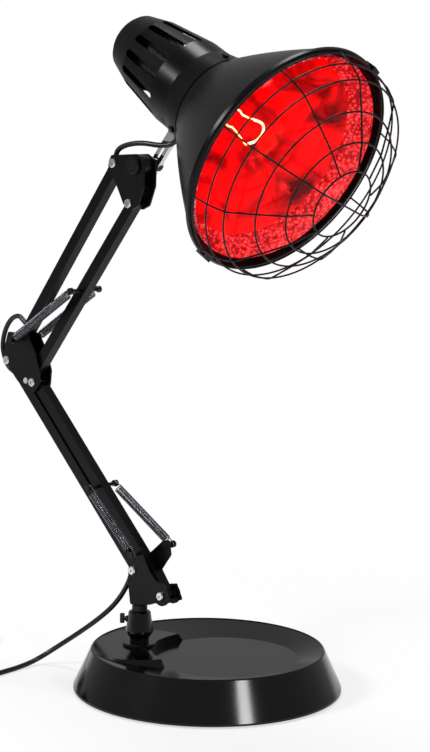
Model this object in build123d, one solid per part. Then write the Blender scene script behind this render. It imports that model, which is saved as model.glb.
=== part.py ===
from build123d import *
import math
import os

# Infrared desk lamp: a round weighted base, two pairs of spring balanced bars, and a vented
# shade with a wire guard round a red reflector bulb.
# Frame: origin at the centre of the base's underside, +Z up, +X the way the arms and the
# head face. The arms move in a plane parallel to XZ through the post. All sizes in mm.

os.makedirs("parts", exist_ok=True)

# Base
base_radius = 100.0
base_rim_radius = 87.3
base_height = 31.6
base_wall = 2.4
base_lip_height = 3.0
base_rim_bead = 0.9
pad_inset = 8.0
pad_radius = base_radius - pad_inset
pad_thickness = 1.5
bottom_plate_inset = 3.4
bottom_plate_radius = base_radius - bottom_plate_inset
bottom_plate_thickness = 1.6
dish_radius = 54.7
dish_depth = 5.8
dish_offset = 12.9
platform_radius = 43.0
platform_flare = 4.5
weight_radius = 78.0
weight_bottom_gap = 0.3
weight_top_gap = 0.6
base_screw_count = 3
base_screw_radius = 1.9
base_screw_pitch_radius = 62.0

# Post and swivel
post_distance = 52.0
post_heading = 213.2
socket_flange_radius = 12.5
socket_flange_thickness = 2.2
socket_neck_radius = 7.2
socket_flare_radius = 10.3
socket_flare_rise = 10.2
socket_top_radius = 8.3
socket_height = 26.0
stem_radius = 4.0
running_clearance = 0.06
socket_thread_radius = 5.0
socket_nut_thickness = 4.0
socket_nut_width = 13.0
thumb_screw_radius = 1.6
thumb_screw_length = 8.6
thumb_screw_head_radius = 3.6
thumb_screw_head_width = 2.6
thumb_screw_drop = 7.2
stem_collar_radius = 5.8
stem_collar_gap = 0.4

# Arm pivots in the arm plane, as (x, z)
pivot_a = (-44.5, 88.3)
lower_spread = (28.85, -14.6)
pivot_c = (-182.9, 233.1)
pivot_e = (-68.3, 389.1)
upper_spread = (16.1, -28.75)
pivot_g = (-161.1, 219.2)
tilt_pivot = (-46.9, 388.0)

# Bars, plates and fasteners
bar_width = 8.2
bar_wall = 0.8
washer_thickness = 1.0
washer_radius = 3.6
plate_clearance = 0.1
plate_thickness = 1.6
pivot_lug_radius = 4.7
lower_lug_radius = 7.4
bolt_radius = 1.5
bolt_head_radius = 3.3
bolt_head_height = 2.0
bolt_recess_radius = 1.3
bolt_recess_depth = 1.1
nut_width = 5.5
nut_thickness = 2.6
fork_depth = 7.0
cord_window = 24.0
tongue_thickness = 5.4
tongue_half_width = 1.8
tongue_lug_radius = 3.2
mouth_plug_length = 9.0
cord_hole_from = 27.0
cord_hole_to = 38.0
upper_bar_setback = 9.0
link_bar_setback = 10.6
open_pivot_clearance = 1.1

# Springs
spring_pin_radius = 1.5
spring_pin_cap_radius = 2.6
spring_pin_cap_width = 1.6
spring_offset = 13.2
spring_coil_radius = 3.0
spring_wire_radius = 0.5
spring_turns = 18
spring_hook_clearance = 0.3
spring_hook_reach = 5.5
lower_pin_along = 100.0
upper_pin_along = 93.0
elbow_pin = (-170.4, 250.0)
front_tab = (-38.6, 102.2)
rear_horn = (-24.2, 108.4)

# Tilt joint and chrome arm
barrel_radius = 7.6
hub_radius = 6.4
hub_height = 2.6
tilt_bolt_radius = 2.4
tilt_spacer_radius = 5.2
chrome_arm_offset = 13.4
chrome_arm_web = 1.2
chrome_arm_flange = 4.0
chrome_arm_width = 8.4
chrome_arm_tail = 18.0
chrome_arm_reach = 40.0
tilt_nut_radius = 4.6
tilt_nut_width = 4.6
tilt_nut_gap = 0.3

# Head, measured back along its axis from the plane of the rim
rim_centre = (93.2, 394.1)
head_droop = 28.3
head_turn = -2.84
rim_radius = 85.05
rim_band = 4.6
rim_bead = 1.3
shade_wall = 1.3
shade_neck_radius = 37.6
shade_neck_at = 77.5
shade_bulge = 1.7
cap_front_radius = 37.5
cap_skirt_at = 96.0
cap_shoulder_radius = 33.9
cap_shoulder_at = 113.0
cap_taper_radius = 28.2
cap_taper_at = 152.5
cap_rear_radius = 21.6
cap_rear_at = 175.5
cap_wall = 1.5
cap_edge = 3.0
holder_to = cap_rear_at - cap_wall
groove_width = 0.9
vent_count = 14
vent_turn = -6.4
vent_width = 5.6
vent_from = 112.0
vent_to = 153.0
cap_screw_radius = 1.5
cap_screw_head = 2.6
cap_screw_at = 85.0
cap_screw_turn = -7.0
cap_tab_depth = 11.0
holder_radius = 18.5
holder_from = 120.0
holder_wall = 3.6
shell_wall = 0.6
thread_clearance = 0.25
bulb_base_radius = 13.1
bulb_base_from = 125.0
bulb_base_to = 149.0
bulb_neck_radius = 20.0
bulb_neck_swell = 8.0
bulb_body_to = 72.0
bulb_neck_to = 98.0
bulb_foot_at = 120.0
bulb_rim_gap = 6.1
bulb_radius = rim_radius - bulb_rim_gap
bulb_waist_inset = 23.2
bulb_waist_at = 36.0
stem_at = 78.0
bulb_crown = 7.0
bulb_edge_at = 3.5
glass_thickness = 1.2
filament_at = 52.0
filament_radius = 12.0
filament_wire = 0.9
support_spread = 9.0

# Wire guard in front of the rim
guard_wire = 0.65
guard_steps = ((1.05, 1.6), (2.9, 13.0), (8.1, 25.2), (25.2, 37.2), (42.2, 48.2), (60.0, 55.4))
guard_rings = [(rim_radius - inset, forward) for inset, forward in guard_steps]
guard_radials = 10
guard_turn = 2.0
guard_weld = 0.9
clip_turns = (212.0, 32.0)
clip_width = 8.0
clip_thickness = 1.0
clip_reach = 7.0

# Cord
cord_radius = 2.0
cord_pivot_offset = 3.75
gland_radius = 4.2
gland_length = 6.0
gland_lift = 1.3
gland_grip = 3.0
coil_centre = (-163.4, -118.0)
coil_middle_radius = 22.2
coil_pitch = 5.4
coil_layer_rise = 4.5
coil_turns_per_layer = 3.0
coil_layers = 4
plug_length = 24.0
plug_width = 22.0
plug_height = 12.5
plug_neck_length = 10.0
plug_point = (-204.0, -66.0)
plug_heading = 112.0
blade_length = 16.0
blade_width = 6.3
blade_thickness = 1.5
blade_spacing = 12.7

# Worked out from the driving dimensions
post_x = post_distance * math.cos(math.radians(post_heading))
post_y = post_distance * math.sin(math.radians(post_heading))
arm_y = post_y
pivot_b = (pivot_a[0] + lower_spread[0], pivot_a[1] + lower_spread[1])
pivot_d = (pivot_c[0] + lower_spread[0], pivot_c[1] + lower_spread[1])
pivot_f = (pivot_e[0] + upper_spread[0], pivot_e[1] + upper_spread[1])
bar_half = bar_width / 2
bore_half = bar_half - bar_wall
plate_inner = bar_half + washer_thickness + plate_clearance
plate_outer = plate_inner + plate_thickness
washer_inner = bar_half + plate_clearance / 2
deck_height = base_height - base_rim_bead
floor_height = deck_height - dish_depth
spring_pin_half = spring_offset + spring_wire_radius + spring_hook_clearance + 0.4


def slab(face, y_low, y_high):
    """A face drawn in the arm plane as (x, z), given thickness between two distances from it."""
    return Pos(0, arm_y + y_high, 0) * extrude(Plane.XZ * face, amount=y_high - y_low)


def rod(centre, radius, y_low, y_high):
    """A round pin square to the arm plane."""
    return slab(Pos(*centre) * Circle(radius), y_low, y_high)


def outline(points, radius):
    """A closed outline with every corner rounded."""
    return make_face(FilletPolyline(*points, radius=radius, close=True))


def along(start, end, distance, side=0.0):
    """A point a distance along a line from start to end, and to its left by side."""
    length = math.dist(start, end)
    ux = (end[0] - start[0]) / length
    uz = (end[1] - start[1]) / length
    return (start[0] + ux * distance - uz * side, start[1] + uz * distance + ux * side)


def heading(start, end):
    return math.degrees(math.atan2(end[1] - start[1], end[0] - start[0]))


def placed(face, start, end, distance=0.0):
    """Put a face drawn along +X from the origin onto the line from start to end."""
    x, z = along(start, end, distance)
    return Pos(x, z) * Rot(0, 0, heading(start, end)) * face


def strip(length, half_width, start=0.0):
    """A rectangle along +X from start, as long as given."""
    return Pos(start + length / 2, 0) * Rectangle(length, 2 * half_width)


def keep(node, *solids):
    """Write one sub-part, as one solid or as a group of separate solids."""
    shapes = []
    for item in solids:
        shapes.extend(item.solids())
    part = shapes[0] if len(shapes) == 1 else Compound(children=shapes)
    export_step(part, f"parts/{node}.step")
    return part


def profile_solid(points):
    """A solid of revolution about Z from (radius, height) points."""
    return revolve(Plane.XZ * make_face(Polyline(*points, close=True)), Axis.Z)


def biarc(start, start_way, end, end_way):
    """Two tangent arcs that join two points with given directions."""
    chord = end - start
    both = start_way + end_way
    spread = 2 * (1 - start_way.dot(end_way))
    lean = chord.dot(both)
    reach = (-lean + math.sqrt(lean * lean + spread * chord.dot(chord))) / spread
    middle = (start + start_way * reach + end - end_way * reach) * 0.5
    return [
        Edge.make_tangent_arc(start, start_way, middle),
        Edge.make_tangent_arc(end, end_way * -1, middle),
    ]


def tube_along(edges, radius, start, way):
    """A round tube along joined edges."""
    return sweep(Plane(origin=start, z_dir=way) * Circle(radius), path=Wire(edges))


def least_gap(points, spacing, radius):
    """The least gap of a tube to itself, measured on points more than a few diameters apart."""
    skip = max(2, int(8 * radius / spacing))
    best = 1e9
    for i, first in enumerate(points):
        for second in points[i + skip:]:
            best = min(best, math.dist(first, second))
    return best - 2 * radius


# Base
def base_shell():
    outer = profile_solid([
        (0, pad_thickness), (base_radius, pad_thickness),
        (base_radius, base_lip_height), (base_rim_radius, base_height - base_rim_bead),
        (base_rim_radius - base_rim_bead, base_height), (base_rim_radius - 2 * base_rim_bead, deck_height),
        (0, deck_height),
    ])
    dish_x = -dish_offset * math.cos(math.radians(post_heading))
    dish_y = -dish_offset * math.sin(math.radians(post_heading))
    floor_face = Plane.XY.offset(floor_height) * Pos(dish_x, dish_y) * Circle(dish_radius)
    deck_face = Plane.XY.offset(deck_height) * Circle(base_rim_radius - 2 * base_rim_bead)
    top_face = Plane.XY.offset(base_height + 1) * Circle(base_rim_radius - 2 * base_rim_bead)
    bowl = loft([floor_face, deck_face]) + loft([deck_face, top_face])
    platform = Pos(post_x, post_y, floor_height) * Cone(
        platform_radius + platform_flare, platform_radius, dish_depth,
        align=(Align.CENTER, Align.CENTER, Align.MIN))
    platform -= Pos(dish_x, dish_y, floor_height) * Cylinder(
        dish_radius + 0.4, 3 * dish_depth, align=(Align.CENTER, Align.CENTER, Align.MIN))
    shell = outer - (bowl - platform)
    roof = floor_height - base_wall
    hollow_top = base_rim_radius - base_wall - (base_height - roof) * 0.0
    hollow = profile_solid([
        (0, pad_thickness - 1), (bottom_plate_radius + 0.3, pad_thickness - 1),
        (bottom_plate_radius + 0.3, pad_thickness + bottom_plate_thickness + 0.2),
        (hollow_top, roof), (0, roof),
    ])
    shell -= hollow
    shell -= Pos(post_x, post_y, 0) * Cylinder(
        socket_thread_radius + 0.1, 2 * base_height, align=(Align.CENTER, Align.CENTER, Align.MIN))
    return shell, roof


shell, roof_height = base_shell()
keep("base_shell", shell)

plate_top = pad_thickness + bottom_plate_thickness
weight_bottom = plate_top + weight_bottom_gap
weight_top = roof_height - weight_top_gap
nut_room = socket_nut_width / 2 + 5
weight = Pos(0, 0, weight_bottom) * Cylinder(
    weight_radius, weight_top - weight_bottom, align=(Align.CENTER, Align.CENTER, Align.MIN))
weight -= Pos(post_x, post_y, 0) * Cylinder(
    nut_room, 2 * base_height, align=(Align.CENTER, Align.CENTER, Align.MIN))
bottom_plate = Pos(0, 0, pad_thickness) * Cylinder(
    bottom_plate_radius, bottom_plate_thickness, align=(Align.CENTER, Align.CENTER, Align.MIN))
screws = []
for index in range(base_screw_count):
    turn = math.radians(post_heading + 60 + 360 * index / base_screw_count)
    place = Pos(base_screw_pitch_radius * math.cos(turn), base_screw_pitch_radius * math.sin(turn), 0)
    base_screw_top = weight_top - 4
    hole = place * Cylinder(base_screw_radius, base_screw_top, align=(Align.CENTER, Align.CENTER, Align.MIN))
    weight -= hole
    bottom_plate -= hole
    screws.append(place * Pos(0, 0, pad_thickness) * Cylinder(
        base_screw_radius, base_screw_top - pad_thickness, align=(Align.CENTER, Align.CENTER, Align.MIN)))
keep("base_weight", weight)
keep("bottom_plate", bottom_plate)
keep("base_screws", *screws)
keep("base_pad", Cylinder(pad_radius, pad_thickness, align=(Align.CENTER, Align.CENTER, Align.MIN)))

# Post socket, seated on the platform, with a threaded tail and a nut under the roof
socket_foot = deck_height
flare_z = socket_foot + socket_flare_rise
socket_top = socket_foot + socket_height
tail_bottom = roof_height - socket_nut_thickness - 1.2
socket_profile = [
    (stem_radius + running_clearance, socket_top), (socket_top_radius - 0.8, socket_top),
    (socket_top_radius, socket_top - 0.8), (socket_flare_radius, flare_z + 1.4),
    (socket_flare_radius, flare_z), (socket_neck_radius, flare_z - 4.6),
    (socket_neck_radius, socket_foot + socket_flange_thickness),
    (socket_flange_radius - 0.8, socket_foot + socket_flange_thickness),
    (socket_flange_radius, socket_foot + socket_flange_thickness - 0.8), (socket_flange_radius, socket_foot),
    (socket_thread_radius, socket_foot), (socket_thread_radius, tail_bottom), (0, tail_bottom),
    (0, socket_foot), (stem_radius + running_clearance, socket_foot),
]
socket = Pos(post_x, post_y, 0) * profile_solid(socket_profile)
screw_turn = Rot(0, 0, 180 + 20)
screw_axis_z = socket_top - thumb_screw_drop
screw_seat = Pos(post_x, post_y, screw_axis_z) * screw_turn
thumb_hole = screw_seat * Pos(stem_radius + running_clearance + 0.1, 0, 0) * Rot(0, 90, 0) * Cylinder(
    thumb_screw_radius + running_clearance, 12, align=(Align.CENTER, Align.CENTER, Align.MIN))
socket -= thumb_hole
keep("post_socket", socket)
nut_blank = Pos(post_x, post_y, roof_height - socket_nut_thickness) * extrude(
    RegularPolygon(socket_nut_width / 2, 6, major_radius=False), amount=socket_nut_thickness)
socket_nut = nut_blank - Pos(post_x, post_y, 0) * Cylinder(socket_thread_radius, 3 * base_height)
keep("socket_nut", socket_nut)
screw_start = stem_radius + running_clearance + 0.15
thumb_screw = screw_seat * Pos(screw_start, 0, 0) * Rot(0, 90, 0) * (
    Cylinder(thumb_screw_radius, thumb_screw_length, align=(Align.CENTER, Align.CENTER, Align.MIN))
    + Pos(0, 0, 5.4) * Cylinder(2.4, 1.2, align=(Align.CENTER, Align.CENTER, Align.MIN))
    + Pos(0, 0, thumb_screw_length) * Box(
        2 * thumb_screw_head_radius, thumb_screw_head_width, 2.8, align=(Align.CENTER, Align.CENTER, Align.MIN)))
keep("thumb_screw", thumb_screw)

# Turret: the stem, a block clamped between two plates, and the pivots A and B
stem_bottom = socket_foot + 1.0
collar_bottom = socket_top + stem_collar_gap
block_bottom = pivot_a[1] - 26.6
stem = Pos(post_x, post_y, stem_bottom) * Cylinder(
    stem_radius, block_bottom + 6 - stem_bottom, align=(Align.CENTER, Align.CENTER, Align.MIN))
stem += Pos(post_x, post_y, collar_bottom) * Cylinder(
    stem_collar_radius, block_bottom - collar_bottom, align=(Align.CENTER, Align.CENTER, Align.MIN))
keep("swivel_stem", stem)
block_face = outline([
    (-46.6, block_bottom), (-28.0, block_bottom + 3.0), (-28.6, block_bottom + 12.0),
    (-38.0, block_bottom + 16.5), (-46.0, block_bottom + 9.5)], 1.0)
block = slab(block_face, -plate_inner, plate_inner)
block -= Pos(post_x, post_y, 0) * Cylinder(stem_radius, 2 * (block_bottom + 6))
keep("bracket_block", block)


def bracket_plate(points, corner, lugs, holes, y_low, y_high):
    """A pressed plate: an outline with rounded lugs at its pivots, and a hole for each fastener."""
    face = outline(points, corner)
    for centre, radius in lugs:
        face += Pos(*centre) * Circle(radius)
    for centre, radius in holes:
        face -= Pos(*centre) * Circle(radius)
    return slab(face, y_low, y_high)


bolt_hole = bolt_radius + running_clearance
lower_holes = [(pivot_a, bolt_hole), (pivot_b, bolt_hole)]
front_low = [
    (-47.0, block_bottom + 0.4), (-6.0, block_bottom + 8.6), (-10.4, 81.6), (-21.6, 84.4), (-28.4, 91.6),
    (-33.6, 101.0), (-37.4, 106.4), (-42.0, 104.6), (-42.6, 96.0), (-49.0, 90.0), (-49.4, 78.0)]
lower_front_plate = bracket_plate(
    front_low, 1.4, [(pivot_a, pivot_lug_radius), (pivot_b, lower_lug_radius)],
    lower_holes + [(front_tab, spring_pin_radius)], -plate_outer, -plate_inner)
keep("lower_bracket_front", lower_front_plate)
rear_low = [
    (-47.0, block_bottom + 0.4), (-6.0, block_bottom + 8.6), (-12.0, 82.0), (-19.4, 80.0), (-27.0, 90.0),
    (-17.8, 102.4), (-19.6, 113.4), (-25.6, 112.0), (-40.0, 99.6), (-48.6, 92.0), (-49.4, 78.0)]
lower_rear_plate = bracket_plate(
    rear_low, 1.4, [(pivot_a, pivot_lug_radius), (pivot_b, lower_lug_radius)],
    lower_holes + [(rear_horn, spring_pin_radius)], plate_inner, plate_outer)
keep("lower_bracket_rear", lower_rear_plate)


def spring_stud(centre, side):
    """A shouldered stud, riveted in a plate, that a spring hooks over."""
    near, far = plate_inner, spring_pin_half
    body = rod(centre, spring_pin_radius, near, far) if side > 0 else rod(centre, spring_pin_radius, -far, -near)
    cap_far = far + spring_pin_cap_width
    cap = rod(centre, spring_pin_cap_radius, far, cap_far) if side > 0 else rod(
        centre, spring_pin_cap_radius, -cap_far, -far)
    return body + cap


keep("bracket_spring_studs", spring_stud(front_tab, -1), spring_stud(rear_horn, 1))


def pivot_bolt(centre):
    """A pan head bolt from the front plate to the back, with a cross recess."""
    tip = plate_outer + nut_thickness + 0.6
    bolt = rod(centre, bolt_radius, -plate_outer, tip)
    head = rod(centre, bolt_head_radius, -plate_outer - bolt_head_height, -plate_outer)
    head = chamfer(head.edges().filter_by(GeomType.CIRCLE).sort_by(Axis.Y)[0], 0.7)
    recess = Pos(*centre) * (Rectangle(2 * bolt_recess_radius, 0.7) + Rectangle(0.7, 2 * bolt_recess_radius))
    top = -plate_outer - bolt_head_height
    return bolt + head - slab(recess, top, top + bolt_recess_depth)


def pivot_nut(centre):
    hexagon = Pos(*centre) * RegularPolygon(nut_width / 2, 6, major_radius=False)
    return slab(hexagon - Pos(*centre) * Circle(bolt_radius), plate_outer, plate_outer + nut_thickness)


def pivot_washers(centre):
    """Two nylon washers, one each side of a bar."""
    ring = Pos(*centre) * (Circle(washer_radius) - Circle(bolt_hole))
    far = washer_inner + washer_thickness
    return [slab(ring, -far, -washer_inner), slab(ring, washer_inner, far)]


keep("lower_pivot_bolts", pivot_bolt(pivot_a), pivot_bolt(pivot_b))
keep("lower_pivot_nuts", pivot_nut(pivot_a), pivot_nut(pivot_b))
keep("lower_pivot_washers", *pivot_washers(pivot_a), *pivot_washers(pivot_b))


def square_bar(start, end, start_setback=0.0, end_setback=0.0):
    """A square tube from pivot to pivot, its ends round about their pivots where it has no setback."""
    length = math.dist(start, end)
    face = strip(length - start_setback - end_setback, bar_half, start_setback)
    if start_setback == 0:
        face += Circle(bar_half)
    if end_setback == 0:
        face += Pos(length, 0) * Circle(bar_half)
    bore = strip(length + 4 * bar_width, bore_half, -2 * bar_width)
    bar = slab(placed(face, start, end), -bar_half, bar_half)
    return bar - slab(placed(bore, start, end), -bore_half, bore_half)


def pierce(bar, centre, radius):
    return bar - rod(centre, radius, -2 * bar_width, 2 * bar_width)


def relieve(bar, start, end, length, sides=(1, -1)):
    """Cut the crown walls back from a pivot at start, so that what lies in the fork can turn."""
    for side in sides:
        cut = Pos(0, side * bar_half) * strip(length + bar_width, bar_wall + 0.2, -bar_width)
        bar -= slab(placed(cut, start, end), -bore_half, bore_half)
    return bar


# Lower bars, forked at the elbow
lower_back = square_bar(pivot_a, pivot_c)
lower_back = pierce(pierce(lower_back, pivot_a, bolt_hole), pivot_c, bolt_hole)
lower_back = relieve(lower_back, pivot_c, pivot_a, fork_depth)
lower_back = relieve(lower_back, pivot_c, pivot_a, cord_window, (-1,))
lower_back = relieve(lower_back, pivot_a, pivot_c, cord_window, (1,))
notch = Pos(*pivot_g) * Circle(tongue_lug_radius + 1.4)
lower_back -= slab(notch, -bore_half, bore_half)
keep("lower_back_bar", lower_back)
lower_front = square_bar(pivot_b, pivot_d)
lower_front = pierce(pierce(lower_front, pivot_b, bolt_hole), pivot_d, bolt_hole)
lower_front = relieve(lower_front, pivot_d, pivot_b, fork_depth)
lower_pin_centre = along(pivot_b, pivot_d, lower_pin_along)
lower_front = pierce(lower_front, lower_pin_centre, spring_pin_radius)
keep("lower_front_bar", lower_front)


def spring_pin(centre):
    """A cross pin with a rolled head at each end, which keeps the springs on."""
    far = spring_pin_half + spring_pin_cap_width
    heads = rod(centre, spring_pin_cap_radius, -far, far) - rod(
        centre, 2 * spring_pin_cap_radius, -spring_pin_half, spring_pin_half)
    return rod(centre, spring_pin_radius, -spring_pin_half, spring_pin_half) + heads


keep("lower_spring_pin", spring_pin(lower_pin_centre))


def point(place, y):
    return Vector(place[0], arm_y + y, place[1])


def extension_spring(start, end, y):
    """A wound spring with a hook at each end, as one unbroken wire between two pins."""
    first, last = point(start, y), point(end, y)
    way = (last - first).normalized()
    across = Vector(0, 1, 0)
    normal = way.cross(across).normalized()
    hook = spring_pin_radius + spring_hook_clearance + spring_wire_radius
    coil_length = (last - first).length - 2 * spring_hook_reach
    rise = coil_length / spring_turns
    tail = 2 * spring_wire_radius

    def on_coil(turn):
        angle = 2 * math.pi * turn
        spot = (first + way * (spring_hook_reach + rise * turn)
                + normal * (spring_coil_radius * math.cos(angle)) + across * (spring_coil_radius * math.sin(angle)))
        tangent = (across * math.cos(angle) - normal * math.sin(angle)) * (2 * math.pi * spring_coil_radius)
        return spot, (tangent + way * rise).normalized()

    def hook_edges(centre, out):
        """The hook over a pin: a short tail, a half turn and a lead along the spring."""
        low, high = centre - normal * hook, centre + normal * hook
        return [
            Edge.make_line(low + out * tail, low),
            Edge.make_three_point_arc(low, centre - out * hook, high),
            Edge.make_line(high, high + out * tail),
        ], high + out * tail

    edges, lead = hook_edges(first, way)
    edges += biarc(lead, way, *on_coil(0))
    for half in range(2 * spring_turns):
        edges += biarc(*on_coil(half / 2), *on_coil((half + 1) / 2))
    closing, lead = hook_edges(last, way * -1)
    edges += biarc(*on_coil(spring_turns), lead, way)
    edges += closing
    return tube_along(edges, spring_wire_radius, first - normal * hook + way * tail, way * -1), rise


lower_spring_front, lower_rise = extension_spring(lower_pin_centre, front_tab, -spring_offset)
lower_spring_rear, lower_rise = extension_spring(lower_pin_centre, rear_horn, spring_offset)
keep("lower_spring_front", lower_spring_front)
keep("lower_spring_rear", lower_spring_rear)
print("springs: least gap between turns", round(lower_rise - 2 * spring_wire_radius, 2))

# Elbow
elbow_outline = [
    (-182.0, 255.4), (-160.6, 255.4), (-150.4, 239.6), (-146.4, 227.0), (-147.6, 215.6), (-153.0, 210.6),
    (-162.4, 211.6), (-171.4, 218.2), (-180.0, 226.6), (-188.0, 236.6)]
elbow_lugs = [(pivot_c, pivot_lug_radius), (pivot_d, pivot_lug_radius + 1)]
elbow_holes = [(pivot_c, bolt_hole), (pivot_d, bolt_hole), (pivot_g, bolt_radius), (elbow_pin, spring_pin_radius)]
keep("elbow_front_plate", bracket_plate(
    elbow_outline, 1.8, elbow_lugs, elbow_holes, -plate_outer, -plate_inner))
keep("elbow_rear_plate", bracket_plate(
    elbow_outline, 1.8, elbow_lugs, elbow_holes, plate_inner, plate_outer))
keep("elbow_bolts", pivot_bolt(pivot_c), pivot_bolt(pivot_d))
keep("elbow_nuts", pivot_nut(pivot_c), pivot_nut(pivot_d))
keep("elbow_washers", *pivot_washers(pivot_c), *pivot_washers(pivot_d))
rivet = rod(pivot_g, bolt_radius, -plate_outer - 0.9, plate_outer + 0.9)
rivet += rod(pivot_g, bolt_radius + 0.8, -plate_outer - 0.9, -plate_outer)
rivet += rod(pivot_g, bolt_radius + 0.8, plate_outer, plate_outer + 0.9)
keep("elbow_rivet", rivet)
keep("elbow_spring_studs", spring_stud(elbow_pin, -1), spring_stud(elbow_pin, 1))

# Upper bars, with tongues that turn in the forks of the lower bars
def tongue(start, end, setback, lug_radius, hole_radius):
    """A plug in a bar's mouth, drawn out to a flat tongue with the bar's lower pivot in it."""
    plug = slab(placed(strip(mouth_plug_length, bore_half, setback), start, end), -bore_half, bore_half)
    blade = Circle(lug_radius) + strip(setback + 1, tongue_half_width)
    blade = slab(placed(blade, start, end), -tongue_thickness / 2, tongue_thickness / 2)
    return plug + blade - rod(start, hole_radius, -bar_width, bar_width)


upper_back = square_bar(pivot_c, pivot_e, start_setback=upper_bar_setback)
upper_back = pierce(upper_back, pivot_e, bolt_hole)
upper_back = relieve(upper_back, pivot_e, pivot_c, cord_window, (-1,))
cord_hole = Pos(0, bar_half) * strip(cord_hole_to - cord_hole_from, bar_wall + 0.2, cord_hole_from)
upper_back -= slab(placed(cord_hole, pivot_c, pivot_e), -bore_half, bore_half)
upper_back += tongue(pivot_c, pivot_e, upper_bar_setback, tongue_lug_radius, bolt_hole)
keep("upper_back_bar", upper_back)
upper_front = square_bar(pivot_g, pivot_f, start_setback=link_bar_setback)
upper_front = pierce(upper_front, pivot_f, bolt_radius + open_pivot_clearance)
upper_pin_centre = along(pivot_g, pivot_f, upper_pin_along)
upper_front = pierce(upper_front, upper_pin_centre, spring_pin_radius)
upper_front += tongue(pivot_g, pivot_f, link_bar_setback, tongue_lug_radius, bolt_hole)
keep("upper_front_bar", upper_front)
keep("upper_spring_pin", spring_pin(upper_pin_centre))
upper_spring_front, upper_rise = extension_spring(elbow_pin, upper_pin_centre, -spring_offset)
upper_spring_rear, upper_rise = extension_spring(elbow_pin, upper_pin_centre, spring_offset)
keep("upper_spring_front", upper_spring_front)
keep("upper_spring_rear", upper_spring_rear)

# Head bracket
head_outline = [
    (-70.6, 395.0), (-45.4, 396.4), (-37.0, 391.6), (-37.4, 373.0), (-43.0, 358.6), (-50.0, 355.4),
    (-57.6, 359.6), (-64.4, 372.4), (-73.6, 387.0)]
head_lugs = [(pivot_e, pivot_lug_radius), (pivot_f, pivot_lug_radius), (tilt_pivot, hub_radius + 1.4)]
head_holes = [(pivot_e, bolt_hole), (pivot_f, bolt_hole), (tilt_pivot, tilt_bolt_radius + running_clearance)]
keep("head_bracket_front", bracket_plate(
    head_outline, 2.0, head_lugs, head_holes, -plate_outer, -plate_inner))
keep("head_bracket_rear", bracket_plate(
    head_outline, 2.0, head_lugs, head_holes, plate_inner, plate_outer))
keep("head_bracket_bolts", pivot_bolt(pivot_e), pivot_bolt(pivot_f))
keep("head_bracket_nuts", pivot_nut(pivot_e), pivot_nut(pivot_f))
keep("head_bracket_washers", *pivot_washers(pivot_e), *pivot_washers(pivot_f))

# Tilt joint
barrel_half = plate_inner - plate_clearance
barrel = rod(tilt_pivot, barrel_radius, -barrel_half, barrel_half)
spacer_near = plate_outer + plate_clearance
barrel += rod(tilt_pivot, tilt_bolt_radius, -plate_outer - plate_clearance, barrel_half)
barrel += rod(tilt_pivot, tilt_spacer_radius, spacer_near, chrome_arm_offset)
barrel += rod(tilt_pivot, tilt_bolt_radius, barrel_half, spacer_near)
keep("clamp_barrel", barrel - rod(tilt_pivot, tilt_bolt_radius - 0.8, -20, 20))
nut_near = chrome_arm_offset + chrome_arm_web + tilt_nut_gap
nut_far = nut_near + tilt_nut_width
tilt_bolt = rod(tilt_pivot, tilt_bolt_radius - 0.8, -plate_outer - plate_clearance, nut_far + 0.8)
hub = rod(tilt_pivot, hub_radius, -plate_outer - plate_clearance - hub_height, -plate_outer - plate_clearance)
hub = chamfer(hub.edges().filter_by(GeomType.CIRCLE).sort_by(Axis.Y)[0], 0.9)
keep("tilt_bolt", tilt_bolt + hub)
nut_face = Circle(tilt_nut_radius)
for index in range(12):
    nut_face -= Rot(0, 0, 30 * index) * Pos(tilt_nut_radius + 0.35, 0) * Circle(0.7)
nut_face -= Circle(tilt_bolt_radius - 0.8 + running_clearance)
keep("tilt_nut", slab(Pos(*tilt_pivot) * nut_face, nut_near, nut_far))

# Head, built about its own axis: local Z runs back from the rim, local X up, local Y with the frame
droop = math.radians(head_droop)
turn_of_head = math.radians(head_turn)
back_way = Vector(
    -math.cos(droop) * math.cos(turn_of_head), -math.cos(droop) * math.sin(turn_of_head), math.sin(droop))
side_way = Vector(-math.sin(turn_of_head), math.cos(turn_of_head), 0)
up_way = side_way.cross(back_way)
head_plane = Plane(origin=(rim_centre[0], arm_y, rim_centre[1]), x_dir=up_way, z_dir=back_way)


def head_part(solid):
    return head_plane.location * solid


def on_head(back, up, side=0.0):
    """A point of the head, given back from the rim, up from the axis and to the side."""
    return head_plane.origin + back_way * back + up_way * up + side_way * side


def shell_of_revolution(outer, inner):
    """A thin turned shell between two lines of (radius, back) points."""
    face = make_face([*outer.edges(), *inner.edges(), Line(outer @ 0, inner @ 0), Line(outer @ 1, inner @ 1)])
    return revolve(Plane.XZ * face, Axis.Z)


flare_middle = (rim_radius + shade_neck_radius) / 2 + shade_bulge
flare_halfway = (rim_band + shade_neck_at) / 2
outer_flare = ThreePointArc(
    (shade_neck_radius, shade_neck_at), (flare_middle, flare_halfway), (rim_radius - 0.6, rim_band))
inner_flare = ThreePointArc(
    (shade_neck_radius - shade_wall, shade_neck_at), (flare_middle - shade_wall * 1.2, flare_halfway),
    (rim_radius - 0.6 - shade_wall, rim_band))
shade = shell_of_revolution(outer_flare, inner_flare)
band_inner = rim_radius - 0.6 - shade_wall
shade += profile_solid([
    (band_inner, rim_band), (band_inner, 0), (rim_radius, 0), (rim_radius + 0.9, rim_bead),
    (rim_radius + 0.9, rim_band - 0.8), (rim_radius - 0.6, rim_band)])


def skirt_radius_at(back):
    """The outer radius of the cap's skirt, which flares from the shoulder to the groove."""
    share = min(max((cap_skirt_at - back) / (cap_skirt_at - shade_neck_at - groove_width), 0), 1)
    return cap_shoulder_radius + (cap_front_radius - cap_shoulder_radius) * share


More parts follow.
